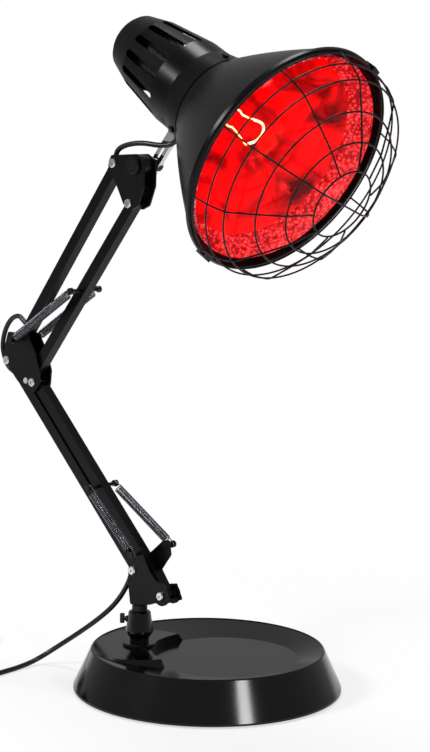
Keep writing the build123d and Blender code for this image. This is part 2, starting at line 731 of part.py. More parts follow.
tab_radius = skirt_radius_at(shade_neck_at + cap_tab_depth) - cap_wall - 0.15
tab_inner = tab_radius - 1.4
shade += profile_solid([
    (tab_inner, shade_neck_at), (shade_neck_radius, shade_neck_at),
    (shade_neck_radius, shade_neck_at - shade_wall), (tab_inner, shade_neck_at - shade_wall)])

# The vented cap, with screws through its front skirt into tabs of the shade
cap_front_at = shade_neck_at + groove_width
cap_outer_points = [
    (cap_front_radius, cap_front_at), (cap_shoulder_radius, cap_skirt_at), (cap_shoulder_radius, cap_shoulder_at),
    (cap_taper_radius, cap_taper_at), (cap_rear_radius + 0.8, cap_rear_at - cap_edge),
    (cap_rear_radius - cap_edge + 1.2, cap_rear_at), (0, cap_rear_at)]
cap_inner_points = [
    (cap_front_radius - cap_wall, cap_front_at), (cap_shoulder_radius - cap_wall, cap_skirt_at),
    (cap_shoulder_radius - cap_wall, cap_shoulder_at - 0.2), (cap_taper_radius - cap_wall, cap_taper_at - 0.3),
    (cap_rear_radius - cap_wall + 0.6, cap_rear_at - cap_edge - 0.2),
    (cap_rear_radius - cap_wall - cap_edge + 1.6, cap_rear_at - cap_wall), (0, cap_rear_at - cap_wall)]
cap = profile_solid(cap_outer_points + cap_inner_points[::-1])
vent_length = vent_to - vent_from
vent_middle = (vent_from + vent_to) / 2
vent_cut = Pos(0, 0, vent_middle) * Rot(0, 90, 0) * extrude(
    SlotOverall(vent_length, vent_width), amount=2 * cap_front_radius)
for index in range(vent_count):
    cap -= Rot(0, 0, vent_turn + 360 * index / vent_count) * vent_cut
tab_ring = profile_solid([
    (tab_inner, shade_neck_at - shade_wall), (tab_radius, shade_neck_at - shade_wall),
    (tab_radius, shade_neck_at + cap_tab_depth), (tab_inner, shade_neck_at + cap_tab_depth)])
shade += tab_ring
screw_seat = skirt_radius_at(cap_screw_at - cap_screw_head) + 0.05
cap_screws = []
for index in range(3):
    lie = Rot(0, 0, cap_screw_turn + 120 * index) * Pos(0, 0, cap_screw_at) * Rot(0, 90, 0)
    hole = lie * Pos(0, 0, tab_radius - 6) * Cylinder(
        cap_screw_radius, 12, align=(Align.CENTER, Align.CENTER, Align.MIN))
    cap -= hole
    shade -= hole
    screw = Pos(0, 0, tab_radius - 4) * Cylinder(
        cap_screw_radius, screw_seat - tab_radius + 4.6, align=(Align.CENTER, Align.CENTER, Align.MIN))
    screw += Pos(0, 0, screw_seat) * Cylinder(
        cap_screw_head, 1.2, align=(Align.CENTER, Align.CENTER, Align.MIN))
    cap_screws.append(head_part(lie * screw))

# Cord gland in the underside of the cap's skirt
gland_back = 106.0
gland_side = 4.0
gland_drop = math.sqrt(cap_shoulder_radius ** 2 - gland_side ** 2)
gland_lie = Pos(-gland_drop, gland_side, gland_back) * Rot(0, -90, 0)
cap -= gland_lie * Cylinder(gland_radius - 1.2, 12)
gland = gland_lie * Pos(0, 0, gland_lift) * (
    Cylinder(gland_radius, 1.6, align=(Align.CENTER, Align.CENTER, Align.MIN))
    + Cone(gland_radius - 0.6, cord_radius + 0.9, gland_length, align=(Align.CENTER, Align.CENTER, Align.MIN)))
gland += gland_lie * Pos(0, 0, -4.0) * Cylinder(gland_radius - 1.3, 5, align=(Align.CENTER, Align.CENTER, Align.MIN))
gland -= gland_lie * Pos(0, 0, gland_lift + gland_length - gland_grip) * Cylinder(
    cord_radius, gland_length, align=(Align.CENTER, Align.CENTER, Align.MIN))
keep("cord_gland", head_part(gland))

# Chrome arm: a stamped channel from the tilt joint to a saddle on the cap's skirt
arm_top_back = 114.0
arm_side = chrome_arm_offset + chrome_arm_web - back_way.Y * arm_top_back
arm_seat_drop = math.sqrt(cap_shoulder_radius ** 2 - arm_side ** 2)
arm_top = on_head(arm_top_back, -arm_seat_drop + 0.5, arm_side)
arm_top_place = (arm_top.X, arm_top.Z)
saddle_from = 100.0
saddle_sweep = 18.0
saddle_turn = 163.6
arm_length = math.dist(tilt_pivot, arm_top_place)
arm_outer = strip(arm_length + chrome_arm_tail, chrome_arm_width / 2, -chrome_arm_tail)
arm_outer = fillet(arm_outer.vertices().sort_by(Axis.X)[:2], 2.0)
arm_inner = strip(arm_length + chrome_arm_tail, chrome_arm_width / 2 - 1.0, -chrome_arm_tail - 2)
arm_slots = Pos(-chrome_arm_tail * 0.55, 0) * SlotOverall(10.0, 2.0) + Pos(14.0, 0) * SlotOverall(14.0, 2.0)
chrome_arm = slab(
    placed(arm_outer - arm_slots, tilt_pivot, arm_top_place), chrome_arm_offset, chrome_arm_offset + chrome_arm_web)
chrome_arm += slab(placed(arm_outer - arm_inner, tilt_pivot, arm_top_place),
                   chrome_arm_offset, chrome_arm_offset + chrome_arm_flange)
chrome_arm -= rod(tilt_pivot, tilt_nut_radius + 0.6, chrome_arm_offset + chrome_arm_web, chrome_arm_reach)
chrome_arm -= rod(tilt_pivot, tilt_bolt_radius - 0.8, 0, chrome_arm_reach)
saddle_face = make_face(Polyline(
    (cap_shoulder_radius - 1, 0, saddle_from), (cap_shoulder_radius + chrome_arm_web, 0, saddle_from),
    (cap_shoulder_radius + chrome_arm_web, 0, arm_top_back + 2), (cap_shoulder_radius - 1, 0, arm_top_back + 2),
    close=True))
saddle = Rot(0, 0, saddle_turn) * revolve(saddle_face, Axis.Z, revolution_arc=-saddle_sweep)
chrome_arm += head_part(saddle)
cap_body = profile_solid(cap_outer_points + [(0, cap_front_at)])
keep("chrome_arm", chrome_arm - head_part(cap_body))
keep("shade", head_part(shade))
keep("vented_cap", head_part(cap))
keep("cap_screws", *cap_screws)

# Lampholder, bulb base, bulb and filament
holder = Pos(0, 0, holder_from) * Cylinder(
    holder_radius, holder_to - holder_from, align=(Align.CENTER, Align.CENTER, Align.MIN))
holder -= Pos(0, 0, holder_from - 1) * Cylinder(
    holder_radius - holder_wall, bulb_base_to + 3 - holder_from + 1, align=(Align.CENTER, Align.CENTER, Align.MIN))
keep("lampholder", head_part(holder))
shell_outer = holder_radius - holder_wall
holder_shell = Pos(0, 0, bulb_base_from) * (
    Cylinder(shell_outer, bulb_base_to - bulb_base_from - 4, align=(Align.CENTER, Align.CENTER, Align.MIN))
    - Cylinder(shell_outer - shell_wall, 80))
contact = Pos(0, 0, bulb_base_to + 0.3) * Cylinder(4.0, 2.7, align=(Align.CENTER, Align.CENTER, Align.MIN))
keep("holder_contacts", head_part(holder_shell), head_part(contact))
bulb_cap = profile_solid([
    (0, bulb_base_from), (bulb_base_radius, bulb_base_from), (bulb_base_radius, bulb_base_to - 5),
    (5.5, bulb_base_to - 1.2), (5.5, bulb_base_to), (0, bulb_base_to)])
keep("bulb_base", head_part(bulb_cap))


def bulb_line(inset):
    """The glass outline as edges: crown, edge, reflector and neck."""
    edge_radius = bulb_radius - inset
    crown_rise = bulb_crown - inset
    shoulder = (bulb_neck_radius + bulb_neck_swell - inset, bulb_body_to)
    return [
        ThreePointArc((0, -crown_rise), (edge_radius * 0.55, -crown_rise * 0.72), (edge_radius - 4, bulb_edge_at - 4 + inset)),
        ThreePointArc((edge_radius - 4, bulb_edge_at - 4 + inset), (edge_radius - 0.8, bulb_edge_at - 1.6 + inset),
                      (edge_radius, bulb_edge_at + 3)),
        ThreePointArc((edge_radius, bulb_edge_at + 3), (edge_radius - bulb_waist_inset, bulb_waist_at), shoulder),
        Line(shoulder, (bulb_neck_radius - inset, bulb_neck_to)),
        Line((bulb_neck_radius - inset, bulb_neck_to), (bulb_base_radius - 0.4 - inset, bulb_foot_at)),
        Line((bulb_base_radius - 0.4 - inset, bulb_foot_at), (bulb_base_radius - 0.4 - inset, bulb_base_from)),
    ]


outer_line = bulb_line(0)
inner_line = bulb_line(glass_thickness)
bulb_face = make_face([
    *outer_line, *inner_line,
    Line(outer_line[-1] @ 1, inner_line[-1] @ 1), Line(outer_line[0] @ 0, inner_line[0] @ 0)])
keep("bulb_envelope", head_part(revolve(Plane.XZ * bulb_face, Axis.Z)))
stem_press = Pos(0, 0, stem_at) * Cylinder(4.5, bulb_base_from - stem_at, align=(Align.CENTER, Align.CENTER, Align.MIN))
keep("glass_stem", head_part(stem_press))
wire_top = stem_at - 0.3
filament_path = ThreePointArc((-support_spread, 0, filament_at), (0, filament_radius, filament_at),
                              (support_spread, 0, filament_at))
filament = sweep(Plane(origin=filament_path @ 0, z_dir=filament_path % 0) * Circle(filament_wire), path=filament_path)
supports = [head_part(filament)]
for side in (-1, 1):
    foot_x = side * 2.6
    tip_x = side * (support_spread + 0.2)
    leg = Line((foot_x, 0, wire_top), (tip_x, 0, filament_at + filament_wire + 0.2))
    supports.append(head_part(sweep(Plane(origin=leg @ 0, z_dir=leg % 0) * Circle(0.5), path=leg)))
keep("filament", *supports)

# Wire guard: hoops joined by bent radial wires
ring_wires = [Pos(0, 0, -forward) * Torus(radius, guard_wire) for radius, forward in guard_rings]
radial_points = []
for index, (radius, forward) in enumerate(guard_rings):
    before = guard_rings[max(index - 1, 0)]
    after = guard_rings[min(index + 1, len(guard_rings) - 1)]
    step = math.dist(before, after)
    out = ((after[1] - before[1]) / step * guard_weld, (before[0] - after[0]) / step * guard_weld)
    radial_points.append((radius + out[0], 0, -forward - out[1]))
radial_path = FilletPolyline(*radial_points, radius=[14.0] * (len(radial_points) - 2))
radial = sweep(Plane(origin=radial_path @ 0, z_dir=radial_path % 0) * Circle(guard_wire), path=radial_path)
radial_wires = [Rot(0, 0, guard_turn + 360 * index / guard_radials) * radial for index in range(guard_radials)]
inner_radius, inner_forward = guard_rings[-1]
apex_wire = Rot(0, 0, guard_turn + 108) * Pos(0, 0, -inner_forward - guard_weld) * Rot(0, 90, 0) * Cylinder(
    guard_wire, 2 * inner_radius)
guard = ring_wires[0].fuse(*ring_wires[1:], *radial_wires, apex_wire)
print("guard solids", len(guard.solids()), "volume", round(guard.volume, 1))
keep("wire_guard", head_part(guard))
clips = []
clip_at = guard_rings[0][1]
clip_foot = rim_band + 0.1
clip_front = -clip_at - guard_wire - 0.1
for turn in clip_turns:
    wall_height = clip_foot - clip_front + 2 * clip_thickness
    wall = Pos(rim_radius + 1.0 + clip_thickness / 2, 0, (clip_foot + clip_front) / 2) * Box(
        clip_thickness, clip_width, wall_height)
    hook = Pos(rim_radius - 0.3, 0, clip_front - clip_thickness / 2) * Box(4.6, clip_width, clip_thickness)
    back = Pos(rim_radius + 0.85, 0, clip_foot + clip_thickness / 2) * Box(2.3, clip_width, clip_thickness)
    clips.append(head_part(Rot(0, 0, turn) * (hook + back + wall)))
keep("guard_clips", *clips)


# Cord
def cord_tube(node, points):
    """A cord along hand chosen points, each corner as round as its two runs allow."""
    spots = [Vector(*place) for place in points]
    radii = []
    for before, corner, after in zip(spots, spots[1:], spots[2:]):
        turn = (corner - before).get_angle(after - corner)
        shorter = min((corner - before).length, (after - corner).length)
        radii.append(0.45 * shorter / math.tan(math.radians(turn) / 2))
    path = FilletPolyline(*spots, radius=radii)
    tube = sweep(Plane(origin=path @ 0, z_dir=path % 0) * Circle(cord_radius), path=path)
    wanted = math.pi * cord_radius ** 2 * path.length
    print(node, "length", round(path.length, 1), "least radius", round(min(radii), 1),
          "volume ratio", round(tube.volume / wanted, 4))
    keep(node, tube)
    return path


def in_arm_plane(places):
    return [(x, arm_y + y, z) for x, y, z in places]


def beside(start, end, distance, side):
    """A point of the arm plane given along and beside a bar, with no distance from the plane."""
    x, z = along(start, end, distance, side)
    return (x, 0.0, z)


# The cord in the lower bar and round the elbow, from a cut above the lower pivot
elbow_cord = [
    beside(pivot_a, pivot_c, 30.0, 0.0), beside(pivot_c, pivot_a, 36.0, 0.0),
    beside(pivot_c, pivot_a, 26.0, -1.0), beside(pivot_c, pivot_a, 17.0, -1.6), (-179.3, 0.0, 222.6), (-187.9, 0.0, 225.6), (-193.0, 0.0, 232.6),
    (-196.2, 0.0, 243.0), (-192.6, 0.0, 256.0), (-185.2, 0.0, 265.4), (-176.6, 0.0, 268.2),
    beside(pivot_c, pivot_e, 32.0, 10.6), beside(pivot_c, pivot_e, 32.0, -1.0),
    beside(pivot_c, pivot_e, 44.0, -0.9), beside(pivot_c, pivot_e, 54.0, 0.0),
    beside(pivot_c, pivot_e, 64.0, 0.0)]
cord_tube("lower_cord", in_arm_plane(elbow_cord))

# The cord in the upper bar and over the head bracket, to the gland in the cap
gland_tip = on_head(gland_back, -gland_drop - gland_lift - gland_length + gland_grip, gland_side)
gland_lead = on_head(gland_back, -gland_drop - gland_lift - gland_length - 5.4, gland_side)
head_cord = [
    beside(pivot_c, pivot_e, 64.0, 0.0), beside(pivot_e, pivot_c, 26.0, 0.0),
    beside(pivot_e, pivot_c, 17.0, -1.2), beside(pivot_e, pivot_c, 7.0, -cord_pivot_offset),
    beside(pivot_e, pivot_c, -1.0, -cord_pivot_offset - 2.2), (-70.6, 0.4, 399.4),
    (-60.6, 1.2, 403.2), (-47.0, 3.0, 404.4), (-34.0, 5.4, 402.6),
    (gland_lead.X, gland_lead.Y - arm_y, gland_lead.Z), (gland_tip.X, gland_tip.Y - arm_y, gland_tip.Z)]
cord_tube("upper_cord", in_arm_plane(head_cord))

# The free cord: out of the lower bar, down to the table, and to the coil
table = cord_radius
coil_outer = coil_middle_radius + coil_pitch * (coil_turns_per_layer - 0.5) / 2
free_cord = [
    *in_arm_plane([beside(pivot_a, pivot_c, 30.0, 0.0), beside(pivot_a, pivot_c, 21.0, 0.0),
                   beside(pivot_a, pivot_c, 12.0, 1.0)]),
    (-51.4, arm_y, 85.0), (-58.6, arm_y, 70.2), (-70.8, arm_y - 0.2, 55.4), (-88.0, arm_y - 0.4, 41.4),
    (-107.4, arm_y - 1.4, 27.6), (-125.2, arm_y - 5.4, 14.8), (-137.6, arm_y - 17.0, table + 1.6),
    (-136.4, arm_y - 34.0, table), (-135.0, -78.0, table),
    (coil_centre[0] + coil_outer, -96.0, table), (coil_centre[0] + coil_outer, coil_centre[1], table)]
free_path = cord_tube("supply_cord", free_cord)


def coil_spot(turn):
    """A point of the coil, which winds in and out in layers and climbs half a turn at each reversal."""
    layer = min(int(turn / coil_turns_per_layer), coil_layers - 1)
    done = turn - layer * coil_turns_per_layer
    flat = coil_turns_per_layer - 0.5
    wound = min(done, flat)
    climbed = max(done - flat, 0) / 0.5 if layer < coil_layers - 1 else 0
    outward = layer % 2
    inner = coil_outer - coil_pitch * flat
    radius = inner + coil_pitch * wound if outward else coil_outer - coil_pitch * wound
    rise = coil_layer_rise * (layer + 0.5 - 0.5 * math.cos(math.pi * climbed))
    angle = -2 * math.pi * turn
    return Vector(coil_centre[0] + radius * math.cos(angle), coil_centre[1] + radius * math.sin(angle), table + rise)


def coil_way(turn):
    """The coil's direction at a point, its first one straight on from the cord."""
    if turn < 0.01:
        return Vector(0, -1, 0)
    return (coil_spot(turn + 0.01) - coil_spot(turn - 0.01)).normalized()


coil_turns = coil_turns_per_layer * coil_layers - 0.5
coil_steps = int(round(coil_turns * 4))
coil_edges = []
for quarter in range(coil_steps):
    turn, after = quarter / 4, (quarter + 1) / 4
    coil_edges += biarc(coil_spot(turn), coil_way(turn), coil_spot(after), coil_way(after))
coil_end, coil_end_way = coil_spot(coil_turns), coil_way(coil_turns)
plug_way = Vector(math.cos(math.radians(plug_heading)), math.sin(math.radians(plug_heading)), 0)
plug_mouth = Vector(plug_point[0], plug_point[1], plug_height / 2)
coil_edges += biarc(coil_end, coil_end_way, plug_mouth, plug_way)
coil = tube_along(coil_edges, cord_radius, coil_spot(0), coil_way(0))
coil_length = sum(edge.length for edge in coil_edges)
print("cord_coil length", round(coil_length, 1), "volume ratio",
      round(coil.volume / (math.pi * cord_radius ** 2 * coil_length), 4))
samples = [tuple(coil_spot(step / 60)) for step in range(int(coil_turns * 60) + 1)]
print("cord_coil least gap", round(least_gap(samples, 2 * math.pi * coil_middle_radius / 60, cord_radius), 2))
print("free length", round(free_path.length + coil_length, 1))
keep("cord_coil", coil)

# Plug: a moulded body with a tapered neck and two blades
plug_lie = Plane(origin=plug_mouth, x_dir=Vector(0, 0, 1).cross(plug_way), z_dir=plug_way).location
neck = loft([Circle(cord_radius + 1.0), Pos(0, 0, plug_neck_length) * RectangleRounded(12.0, 9.0, 3.0)])
grip = Pos(0, 0, plug_neck_length) * extrude(RectangleRounded(plug_width, plug_height, 3.5), amount=plug_length)
plug = neck + chamfer(grip.faces().sort_by(Axis.Z)[-1].edges(), 0.8)
blade_root = plug_neck_length + plug_length
blades = []
for side in (-1, 1):
    blade = Pos(side * blade_spacing / 2, 0, blade_root - 6) * Box(
        blade_thickness, blade_width, blade_length + 6, align=(Align.CENTER, Align.CENTER, Align.MIN))
    blades.append(plug_lie * blade)
plug = plug_lie * plug
for blade in blades:
    plug -= blade
keep("plug_body", plug)
keep("plug_blades", *blades)
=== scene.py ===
"""Looks of an infrared desk lamp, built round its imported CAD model."""

import logging
import math
from dataclasses import dataclass, field
from enum import Enum

import bmesh
import bpy
from mathutils import Matrix, Vector

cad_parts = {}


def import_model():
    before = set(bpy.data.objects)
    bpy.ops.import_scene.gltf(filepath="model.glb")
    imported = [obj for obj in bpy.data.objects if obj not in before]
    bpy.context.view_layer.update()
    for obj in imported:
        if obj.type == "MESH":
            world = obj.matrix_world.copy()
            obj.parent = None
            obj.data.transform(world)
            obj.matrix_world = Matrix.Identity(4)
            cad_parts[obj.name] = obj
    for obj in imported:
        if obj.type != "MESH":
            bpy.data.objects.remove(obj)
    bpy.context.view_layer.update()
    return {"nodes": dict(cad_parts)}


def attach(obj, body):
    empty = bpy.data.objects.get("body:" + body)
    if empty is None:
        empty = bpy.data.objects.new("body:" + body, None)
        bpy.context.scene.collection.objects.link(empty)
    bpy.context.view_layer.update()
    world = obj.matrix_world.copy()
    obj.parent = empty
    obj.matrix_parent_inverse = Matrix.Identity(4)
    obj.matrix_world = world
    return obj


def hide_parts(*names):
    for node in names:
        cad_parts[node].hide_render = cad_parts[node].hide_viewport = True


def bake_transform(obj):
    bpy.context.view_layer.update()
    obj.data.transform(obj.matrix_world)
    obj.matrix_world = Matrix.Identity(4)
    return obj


LOG = logging.getLogger("desk_lamp")
MM = 0.001
MM_PER_M = 1000
# The vertical plane through the middle of the arm, in millimetres, as are all points below.
ARM_Y = -28.474
# Where the lower and the upper front bars pivot, each from its root to its tip.
LOWER_FRONT_ROOT = Vector((-15.65, ARM_Y, 73.7))
LOWER_FRONT_TIP = Vector((-154.05, ARM_Y, 218.5))
UPPER_FRONT_ROOT = Vector((-161.1, ARM_Y, 219.2))
UPPER_FRONT_TIP = Vector((-52.2, ARM_Y, 360.35))
# How far up those bars their spring pins sit, and what the springs' other ends hook over.
LOWER_PIN_ALONG = 100.0
UPPER_PIN_ALONG = 93.0
LOWER_TAB = Vector((-38.6, ARM_Y, 102.2))
LOWER_HORN = Vector((-24.2, ARM_Y, 108.4))
UPPER_STUD = Vector((-170.4, ARM_Y, 250.0))
SPRING_ASIDE = Vector((0, 13.2, 0))


class Body(Enum):
    """The CAD bodies that pieces ride on."""

    BASE = "base"
    TURRET = "turret"
    LOWER_BACK = "lower_back_arm"
    LOWER_FRONT = "lower_front_arm"
    ELBOW = "elbow"
    UPPER_BACK = "upper_back_arm"
    UPPER_FRONT = "upper_front_arm"
    HEAD_BRACKET = "head_bracket"
    HEAD = "head"


def srgb(code: str) -> tuple[float, float, float, float]:
    """Turn an sRGB hex colour to linear.

    Args:
        code: A colour such as "#17181A".

    Returns:
        Linear red, green, blue and an alpha of 1.
    """
    parts = [int(code[i:i + 2], 16) / 255 for i in (1, 3, 5)]
    linear = [p / 12.92 if p <= 0.04045 else ((p + 0.055) / 1.055) ** 2.4 for p in parts]
    return (linear[0], linear[1], linear[2], 1.0)


def plug(tree: bpy.types.NodeTree, node: bpy.types.Node, inputs: dict) -> None:
    """Set or link a node's inputs.

    Args:
        tree: The node tree.
        node: A node in it.
        inputs: Socket name or number to a value, or to an output socket to link from.
    """
    for socket, value in inputs.items():
        if isinstance(value, bpy.types.NodeSocket):
            tree.links.new(value, node.inputs[socket])
        else:
            node.inputs[socket].default_value = value


def add_node(tree: bpy.types.NodeTree, kind: str, inputs: dict | None = None,
             steps: tuple[tuple[float, str], ...] = (), **settings: object) -> bpy.types.Node:
    """Add a node with its settings, and set or link its inputs.

    Args:
        tree: The node tree.
        kind: The node's type.
        inputs: What plug takes.
        steps: Places with their hex colours, in order, for a colour ramp.
        **settings: Attributes of the node.

    Returns:
        The new node.
    """
    node = tree.nodes.new(kind)
    for name, value in settings.items():
        setattr(node, name, value)
    plug(tree, node, inputs or {})
    if steps:
        elements = node.color_ramp.elements
        while len(elements) < len(steps):
            elements.new(0.5)
        for element, (place, code) in zip(elements, steps):
            element.position = place
            element.color = srgb(code)
    return node


@dataclass(frozen=True)
class Surface:
    """A named material, whose nodes each kind of surface adds."""

    name: str

    def build(self) -> bpy.types.Material:
        """Make the material.

        Returns:
            The material, with its nodes.
        """
        material = bpy.data.materials.new(self.name)
        material.use_nodes = True
        tree = material.node_tree
        place = add_node(tree, "ShaderNodeTexCoord").outputs["Object"]
        self.fill(tree, tree.nodes["Principled BSDF"], place)
        return material

    def fill(self, tree: bpy.types.NodeTree, shader: bpy.types.Node,
             place: bpy.types.NodeSocket) -> None:
        """Add the nodes of this kind of surface.

        Args:
            tree: The material's node tree.
            shader: Its Principled BSDF.
            place: The point on the object, in metres.
        """
        raise NotImplementedError


@dataclass(frozen=True)
class Finish(Surface):
    """A surface with a fine grain in its height and some variation in its gloss."""

    colour: str
    second: str
    roughness: float
    metallic: float = 0.0
    grain_mm: float = 1.0
    grain_height: float = 0.1
    grain_depth_m: float = 0.0002
    patch_mm: float = 30.0
    roughness_swing: float = 0.05
    specular: float = 0.5

    def fill(self, tree: bpy.types.NodeTree, shader: bpy.types.Node,
             place: bpy.types.NodeSocket) -> None:
        """Add patches that shift the colour and the gloss, and a grain in the height."""
        patch = add_node(tree, "ShaderNodeTexNoise", {
            "Vector": place, "Scale": MM_PER_M / self.patch_mm, "Detail": 4.0}).outputs["Fac"]
        grain = add_node(tree, "ShaderNodeTexNoise", {
            "Vector": place, "Scale": MM_PER_M / self.grain_mm, "Detail": 2.0}).outputs["Fac"]
        tint = add_node(tree, "ShaderNodeValToRGB", {"Fac": patch},
                        ((0.3, self.colour), (0.75, self.second)))
        gloss = add_node(tree, "ShaderNodeMapRange", {
            "Value": patch, "From Min": 0.3, "From Max": 0.7,
            "To Min": self.roughness - self.roughness_swing,
            "To Max": self.roughness + self.roughness_swing})
        bump = add_node(tree, "ShaderNodeBump", {
            "Height": grain, "Strength": self.grain_height, "Distance": self.grain_depth_m})
        plug(tree, shader, {
            "Base Color": tint.outputs["Color"], "Roughness": gloss.outputs["Result"],
            "Normal": bump.outputs["Normal"], "Metallic": self.metallic,
            "Specular IOR Level": self.specular})


# Satin black powder coat: deep black with a soft broad highlight and the faintest orange peel.
POWDER_COAT = Finish("satin_black_powder_coat", "#020203", "#050506", 0.27, grain_mm=0.9,
                     grain_height=0.08, roughness_swing=0.03, specular=0.14)
# Gloss black stove enamel on the pressed base: smooth enough to mirror the post in its dish.
STOVE_ENAMEL = Finish("gloss_black_stove_enamel", "#020203", "#040405", 0.15, grain_mm=2.5,
                      grain_height=0.02, patch_mm=40.0, roughness_swing=0.02, specular=0.32)
# The bars are drawn square tube under the same coat, a little greyer on their drawn faces.
BAR_COAT = Finish("black_coat_on_drawn_tube", "#030304", "#070708", 0.30, grain_mm=0.7,
                  grain_height=0.10, patch_mm=18.0, specular=0.15)
# Stamped plates show the coat at its flattest and greyest.
PLATE_COAT = Finish("black_coat_on_stamped_plate", "#040405", "#08080A", 0.34, grain_mm=0.8,
                    grain_height=0.12, patch_mm=14.0, specular=0.16)
# Black zinc: dark, half metallic, slightly uneven from the bath.
BLACK_ZINC = Finish("black_zinc_plating", "#0B0B0C", "#19191B", 0.30, metallic=0.5, grain_mm=0.5,
                    grain_height=0.08, patch_mm=6.0, specular=0.4)
# Bright zinc on small turned screws: near white with soft tool rings.
BRIGHT_ZINC = Finish("bright_zinc_plating", "#E2E4E6", "#C4C7CA", 0.22, metallic=1.0,
                     grain_mm=0.4, grain_height=0.06, patch_mm=3.0, roughness_swing=0.08)
# Chrome plate over a pressed strip: a mirror with very slight waves.
CHROME_PLATE = Finish("chrome_plate_on_pressed_strip", "#DADDE0", "#C9CDD1", 0.08, metallic=1.0,
                      grain_mm=4.0, grain_height=0.10, patch_mm=12.0, roughness_swing=0.03)
# Cast iron as it leaves the sand: grey, rough and pitted.
SAND_CAST_IRON = Finish("sand_cast_iron", "#3A3938", "#2C2B2A", 0.7, metallic=0.7, grain_mm=1.2,
                        grain_height=0.6)
# Oiled spring wire, blackened: thin oil film over dark steel.
SPRING_WIRE = Finish("blackened_spring_wire", "#4C4C52", "#7C7C84", 0.22, metallic=0.9,
                     grain_mm=0.4, grain_height=0.05, patch_mm=3.0)
# Guard wire dipped in black: thin glossy skin.
DIPPED_WIRE = Finish("black_dipped_wire", "#020203", "#060607", 0.28, grain_mm=0.6,
                     grain_height=0.08, patch_mm=5.0, specular=0.2)
# Extruded vinyl flex: smooth black with a soft sheen line and faint drawing marks.
VINYL = Finish("extruded_black_vinyl", "#060607", "#0B0B0C", 0.34, grain_mm=0.8,
               grain_height=0.10, patch_mm=15.0, specular=0.4)
# Moulded plastic of the plug and the nut: fine spark texture.
MOULDED_BLACK = Finish("moulded_black_plastic", "#131315", "#1B1B1D", 0.5, grain_mm=0.5,
                       grain_height=0.25)
# Foam pad: open pores and no gloss.
FOAM = Finish("closed_cell_foam", "#1E1E20", "#29292B", 0.9, grain_mm=0.8, grain_height=0.7)
# Nylon washers: slightly waxy black.
NYLON = Finish("turned_black_nylon", "#1B1B1D", "#242427", 0.5, grain_mm=0.5, grain_height=0.1)
# Stamped brass of blades and contacts.
STAMPED_BRASS = Finish("stamped_brass", "#D9B76A", "#C7A052", 0.25, metallic=1.0, grain_mm=0.5,
                       grain_height=0.08)
# Lampholder of pressed phenolic: near black brown with a hard skin.
PRESSED_PHENOLIC = Finish("pressed_black_phenolic", "#0C0B0A", "#15120F", 0.28, grain_mm=1.5,
                          grain_height=0.1, patch_mm=9.0)
# Rolled aluminium screw cap of the bulb.
ROLLED_ALUMINIUM = Finish("rolled_aluminium", "#C9CBCD", "#B4B7BA", 0.35, metallic=1.0,
                          grain_mm=0.6, grain_height=0.1)


@dataclass(frozen=True)
class RedFilterGlass(Surface):
    """Clear front of an infrared bulb: red dyed soda glass that shows the reflector behind it."""

    name: str = "red_filter_glass"
    colour: str = "#FF6062"
    second: str = "#FF4A4C"
    wave_mm: float = 22.0
    wave_height_m: float = 0.001
    # Below the glass's own, as one face stands for a thin wall, which hardly bends light.
    ior: float = 1.12

    def fill(self, tree: bpy.types.NodeTree, shader: bpy.types.Node,
             place: bpy.types.NodeSocket) -> None:
        """Add the slow waves of blown glass, in the height and the tint."""
        wave = add_node(tree, "ShaderNodeTexNoise", {
            "Vector": place, "Scale": MM_PER_M / self.wave_mm, "Detail": 1.0}).outputs["Fac"]
        bump = add_node(tree, "ShaderNodeBump", {
            "Height": wave, "Strength": 0.25, "Distance": self.wave_height_m})
        tint = add_node(tree, "ShaderNodeValToRGB", {"Fac": wave},
                        ((0.35, self.colour), (0.8, self.second)))
        plug(tree, shader, {
            "Base Color": tint.outputs["Color"], "Normal": bump.outputs["Normal"],
            "Roughness": 0.03, "IOR": self.ior, "Transmission Weight": 1.0})


@dataclass(frozen=True)
class ClearGlass(Surface):
    """Lamp blown soda glass without colour."""

    name: str = "lampworked_clear_glass"
    seed_mm: float = 6.0
    seed_height_m: float = 0.0005

    def fill(self, tree: bpy.types.NodeTree, shader: bpy.types.Node,
             place: bpy.types.NodeSocket) -> None:
        """Add the faint seeds of worked glass."""
        seed = add_node(tree, "ShaderNodeTexNoise", {
            "Vector": place, "Scale": MM_PER_M / self.seed_mm}).outputs["Fac"]
        bump = add_node(tree, "ShaderNodeBump", {
            "Height": seed, "Strength": 0.1, "Distance": self.seed_height_m})
        plug(tree, shader, {
            "Normal": bump.outputs["Normal"], "Roughness": 0.04, "IOR": 1.5,
            "Transmission Weight": 1.0})


